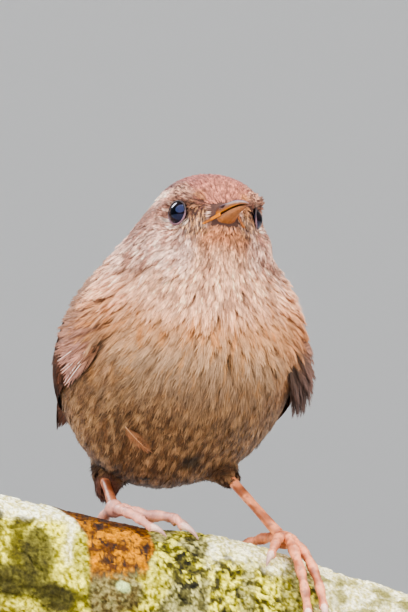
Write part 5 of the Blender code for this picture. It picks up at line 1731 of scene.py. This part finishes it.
def bark_tint(points):
    """Lichen and bark by place along the branch, with patches and granules at several sizes."""
    x = points[:, 0]
    height = points[:, 2] - perch_axis(x)[:, 2]
    large, mid, small = mottle(points, 6.0, 31), mottle(points, 2.4, 32), mottle(points, 1.0, 33)
    tiny = noise(points, 0.42, 34)
    speck = ramp(mottle(points, 0.75, 37), 0.44, 0.36)
    wobble = (mid - 0.5) * 3.0 + (small - 0.5) * 1.0

    def spot(x_middle, h_middle, x_half, h_half, soft=0.35):
        reach = ((x - x_middle) / x_half) ** 2 + ((height - h_middle) / h_half) ** 2
        rough = np.exp(-reach) + 0.5 * (mid - 0.5) + 0.25 * (small - 0.5)
        return ramp(rough, 0.45 - soft / 2, 0.45 + soft / 2)

    olive = mixed(srgb(48, 42, 12), srgb(104, 96, 26), small)
    yellow = mixed(srgb(150, 140, 8), srgb(244, 232, 96), ramp(tiny, 0.25, 0.65))
    cream = mixed(srgb(214, 202, 128), srgb(255, 248, 214), ramp(tiny, 0.3, 0.65))
    grey = mixed(srgb(100, 94, 50), srgb(180, 172, 110), ramp(tiny, 0.3, 0.65))
    # Near black: the crust's black granules, and painted shade in the hollows at the left end
    black_and_shade = mixed(srgb(20, 18, 10), srgb(62, 58, 36), tiny)
    # The left end: yellow-green crust, paler along the top, with soft dark spots of painted shade at its
    # hollows
    colour = mixed(olive, yellow, ramp(0.6 * large + 0.4 * mid, 0.36, 0.52))
    colour = mixed(colour, cream, ramp(height + wobble, 8.4, 10.8))
    for place in (
        (-27.0, 3.4, 3.0, 5.4),
        (-33.8, 9.3, 1.3, 1.8),
        (-31.5, -1.0, 4.5, 3.2),
        (-24.0, -2.5, 3.4, 2.6),
    ):
        colour = mixed(colour, mixed(black_and_shade, olive, 0.35), spot(*place) * 0.9)
    ridge = hump(x + 21.6 + 0.3 * wobble, 0.0, 0.8) * ramp(height, 2.0, 5.0)
    colour = mixed(colour, cream, ridge * 0.9)
    colour = mixed(colour, mixed(olive, yellow, 0.45), spot(-20.0, 5.0, 1.6, 4.0) * 0.9)
    # The middle: grey crust with black granules, yellow rounds in it
    crust = mixed(grey, mixed(olive, yellow, ramp(small, 0.4, 0.6)), ramp(large, 0.50, 0.62))
    crust = mixed(crust, mixed(olive, yellow, 0.55 + 0.4 * small), spot(-8.0, 3.0, 2.6, 3.6))
    dense = 0.35 + 0.65 * spot(-2.3, 6.0, 3.4, 6.5, 0.6)
    blot = ramp(mottle(points, 1.4, 38), 0.56, 0.44)
    crust = mixed(crust, mixed(black_and_shade, olive, 0.4), blot * spot(-2.6, 6.0, 3.6, 6.5, 0.5) * 0.9)
    crust = mixed(crust, black_and_shade, speck * dense * ramp(x, -11.0, -8.0) * ramp(x + wobble, 2.5, 0.0))
    brown_low = ramp(x + 0.5 * wobble, -9.5, -11.0) * ramp(height + 2.2 * wobble, 5.5, 1.5)
    crust = mixed(crust, mixed(black_and_shade, srgb(92, 56, 20), small), brown_low * 0.6)
    for place in ((-11.5, 4.0, 0.8, 0.9), (-13.2, 1.2, 1.1, 0.9)):
        crust = mixed(crust, srgb(206, 222, 150), spot(*place) * 0.8)
    colour = mixed(colour, crust, ramp(x + 0.4 * wobble, -19.0, -18.0))
    # The right: cream granules above, yellow-green below, then smooth and grey past the foot
    right = mixed(olive, yellow, ramp(small, 0.34, 0.52))
    right = mixed(right, cream, ramp(height + 2.2 * wobble, 7.0, 11.0) * 0.85)
    right = mixed(right, black_and_shade, speck * ramp(height + wobble, 11.0, 7.0) * 0.8)
    right = mixed(right, mixed(olive, grey, tiny), spot(7.0, 4.5, 1.6, 5.0) * 0.75)
    right = mixed(right, mixed(olive, grey, 0.5 * tiny), spot(14.5, 6.0, 2.6, 6.0) * 0.75)
    smooth = mixed(srgb(110, 104, 56), srgb(172, 164, 104), mid)
    smooth = mixed(smooth, cream * 0.9, ramp(0.5 * large + 0.5 * mid, 0.42, 0.60))
    smooth = mixed(smooth, cream, ramp(height, 10.5, 11.8) * 0.7)
    right = mixed(right, smooth, ramp(x + wobble, 16.5, 19.5))
    colour = mixed(colour, right, ramp(x + 0.6 * wobble, 0.0, 1.6))
    # The bare orange bark
    left_edge = np.interp(height, (3.0, 8.5, 11.0, 12.5), (-18.6, -19.2, -21.5, -25.0))
    right_edge = np.interp(height, (6.0, 8.4, 12.5), (-8.8, -7.6, -9.9))
    bare = ramp(x + 0.3 * wobble - left_edge, -0.3, 0.6) * ramp(x + 0.3 * wobble - right_edge, 0.3, -0.5)
    bare = bare * ramp(height + 0.8 * wobble - 0.25 * (x + 18.0), 0.5, 3.0)
    glow = ramp(0.45 * small + 0.35 * mid + 0.2 * tiny, 0.60, 0.36) * ramp(height, 12.2, 10.0)
    orange = mixed(srgb(84, 50, 22), srgb(208, 134, 12), glow)
    orange = mixed(orange, srgb(112, 78, 62), ramp(height, 11.2, 12.4) * ramp(x, -17.0, -12.0) * 0.8)
    fleck = ramp(mottle(points * np.array([1.9, 1.0, 0.7]), 1.0, 36), 0.58, 0.66)
    orange = mixed(orange, srgb(42, 34, 34), fleck * 0.85)
    colour = mixed(colour, orange, bare)
    under = ramp(height, -3.0, -9.0)
    colour = mixed(colour, mixed(srgb(74, 58, 40), srgb(118, 98, 66), small), under * 0.8)
    return colour * (0.74 + 0.40 * tiny)[:, None]


def make_stand():
    """The base and rods keep their solids, with turned grain and brushed metal."""
    wood, nodes, links, shader = surface("stand_wood", 0.35)
    grain = noise_node(nodes, links, 60.0, 6.0, 0.6, (1.0, 9.0, 9.0))
    colours = add_node(nodes, "ShaderNodeValToRGB")
    shades = ((0.35, srgb(78, 46, 28)), (0.68, srgb(132, 84, 52)))
    for stop, (position, colour) in zip(colours.color_ramp.elements, shades):
        stop.position = position
        stop.color = (*colour, 1)
    links.new(grain.outputs["Fac"], colours.inputs["Fac"])
    links.new(colours.outputs["Color"], shader.inputs["Base Color"])
    add_bump(nodes, links, grain, shader, 0.25, 0.1)
    metal, nodes, links, shader = surface("stand_metal", 0.3, tuple(srgb(196, 164, 104)), 1.0)
    brushed = noise_node(nodes, links, 500.0, 3.0, 0.6, (1.0, 1.0, 12.0))
    reach = add_node(nodes, "ShaderNodeMapRange", **{"To Min": 0.22, "To Max": 0.42})
    links.new(brushed.outputs["Fac"], reach.inputs["Value"])
    links.new(reach.outputs["Result"], shader.inputs["Roughness"])
    for name, material in (("stand_base", wood), ("stand_rod_high", metal), ("stand_rod_low", metal)):
        node = frame["nodes"][name]
        node.data.materials.clear()
        node.data.materials.append(material)


def main():
    make_stage()
    make_stand()
    make_perch()
    points, triangles = make_skin()
    grids = {side: wing_grid(side) for side in (-1, 1)}
    make_coat(points, triangles, np.concatenate([grid[3][0, 14:21] for grid in grids.values()]))
    for side, grid in grids.items():
        make_wing(side, grid)
        make_eye(side)
    make_tail()
    make_strays()
    make_jaw("beak_upper", UPPER_JAW, "upper_bill", "bill_horn", upper_tint)
    make_jaw("beak_lower", LOWER_JAW, "lower_bill", "bill_pale", lower_tint)
    make_gape()
    for which in ("right", "left"):
        make_leg(which)


main()
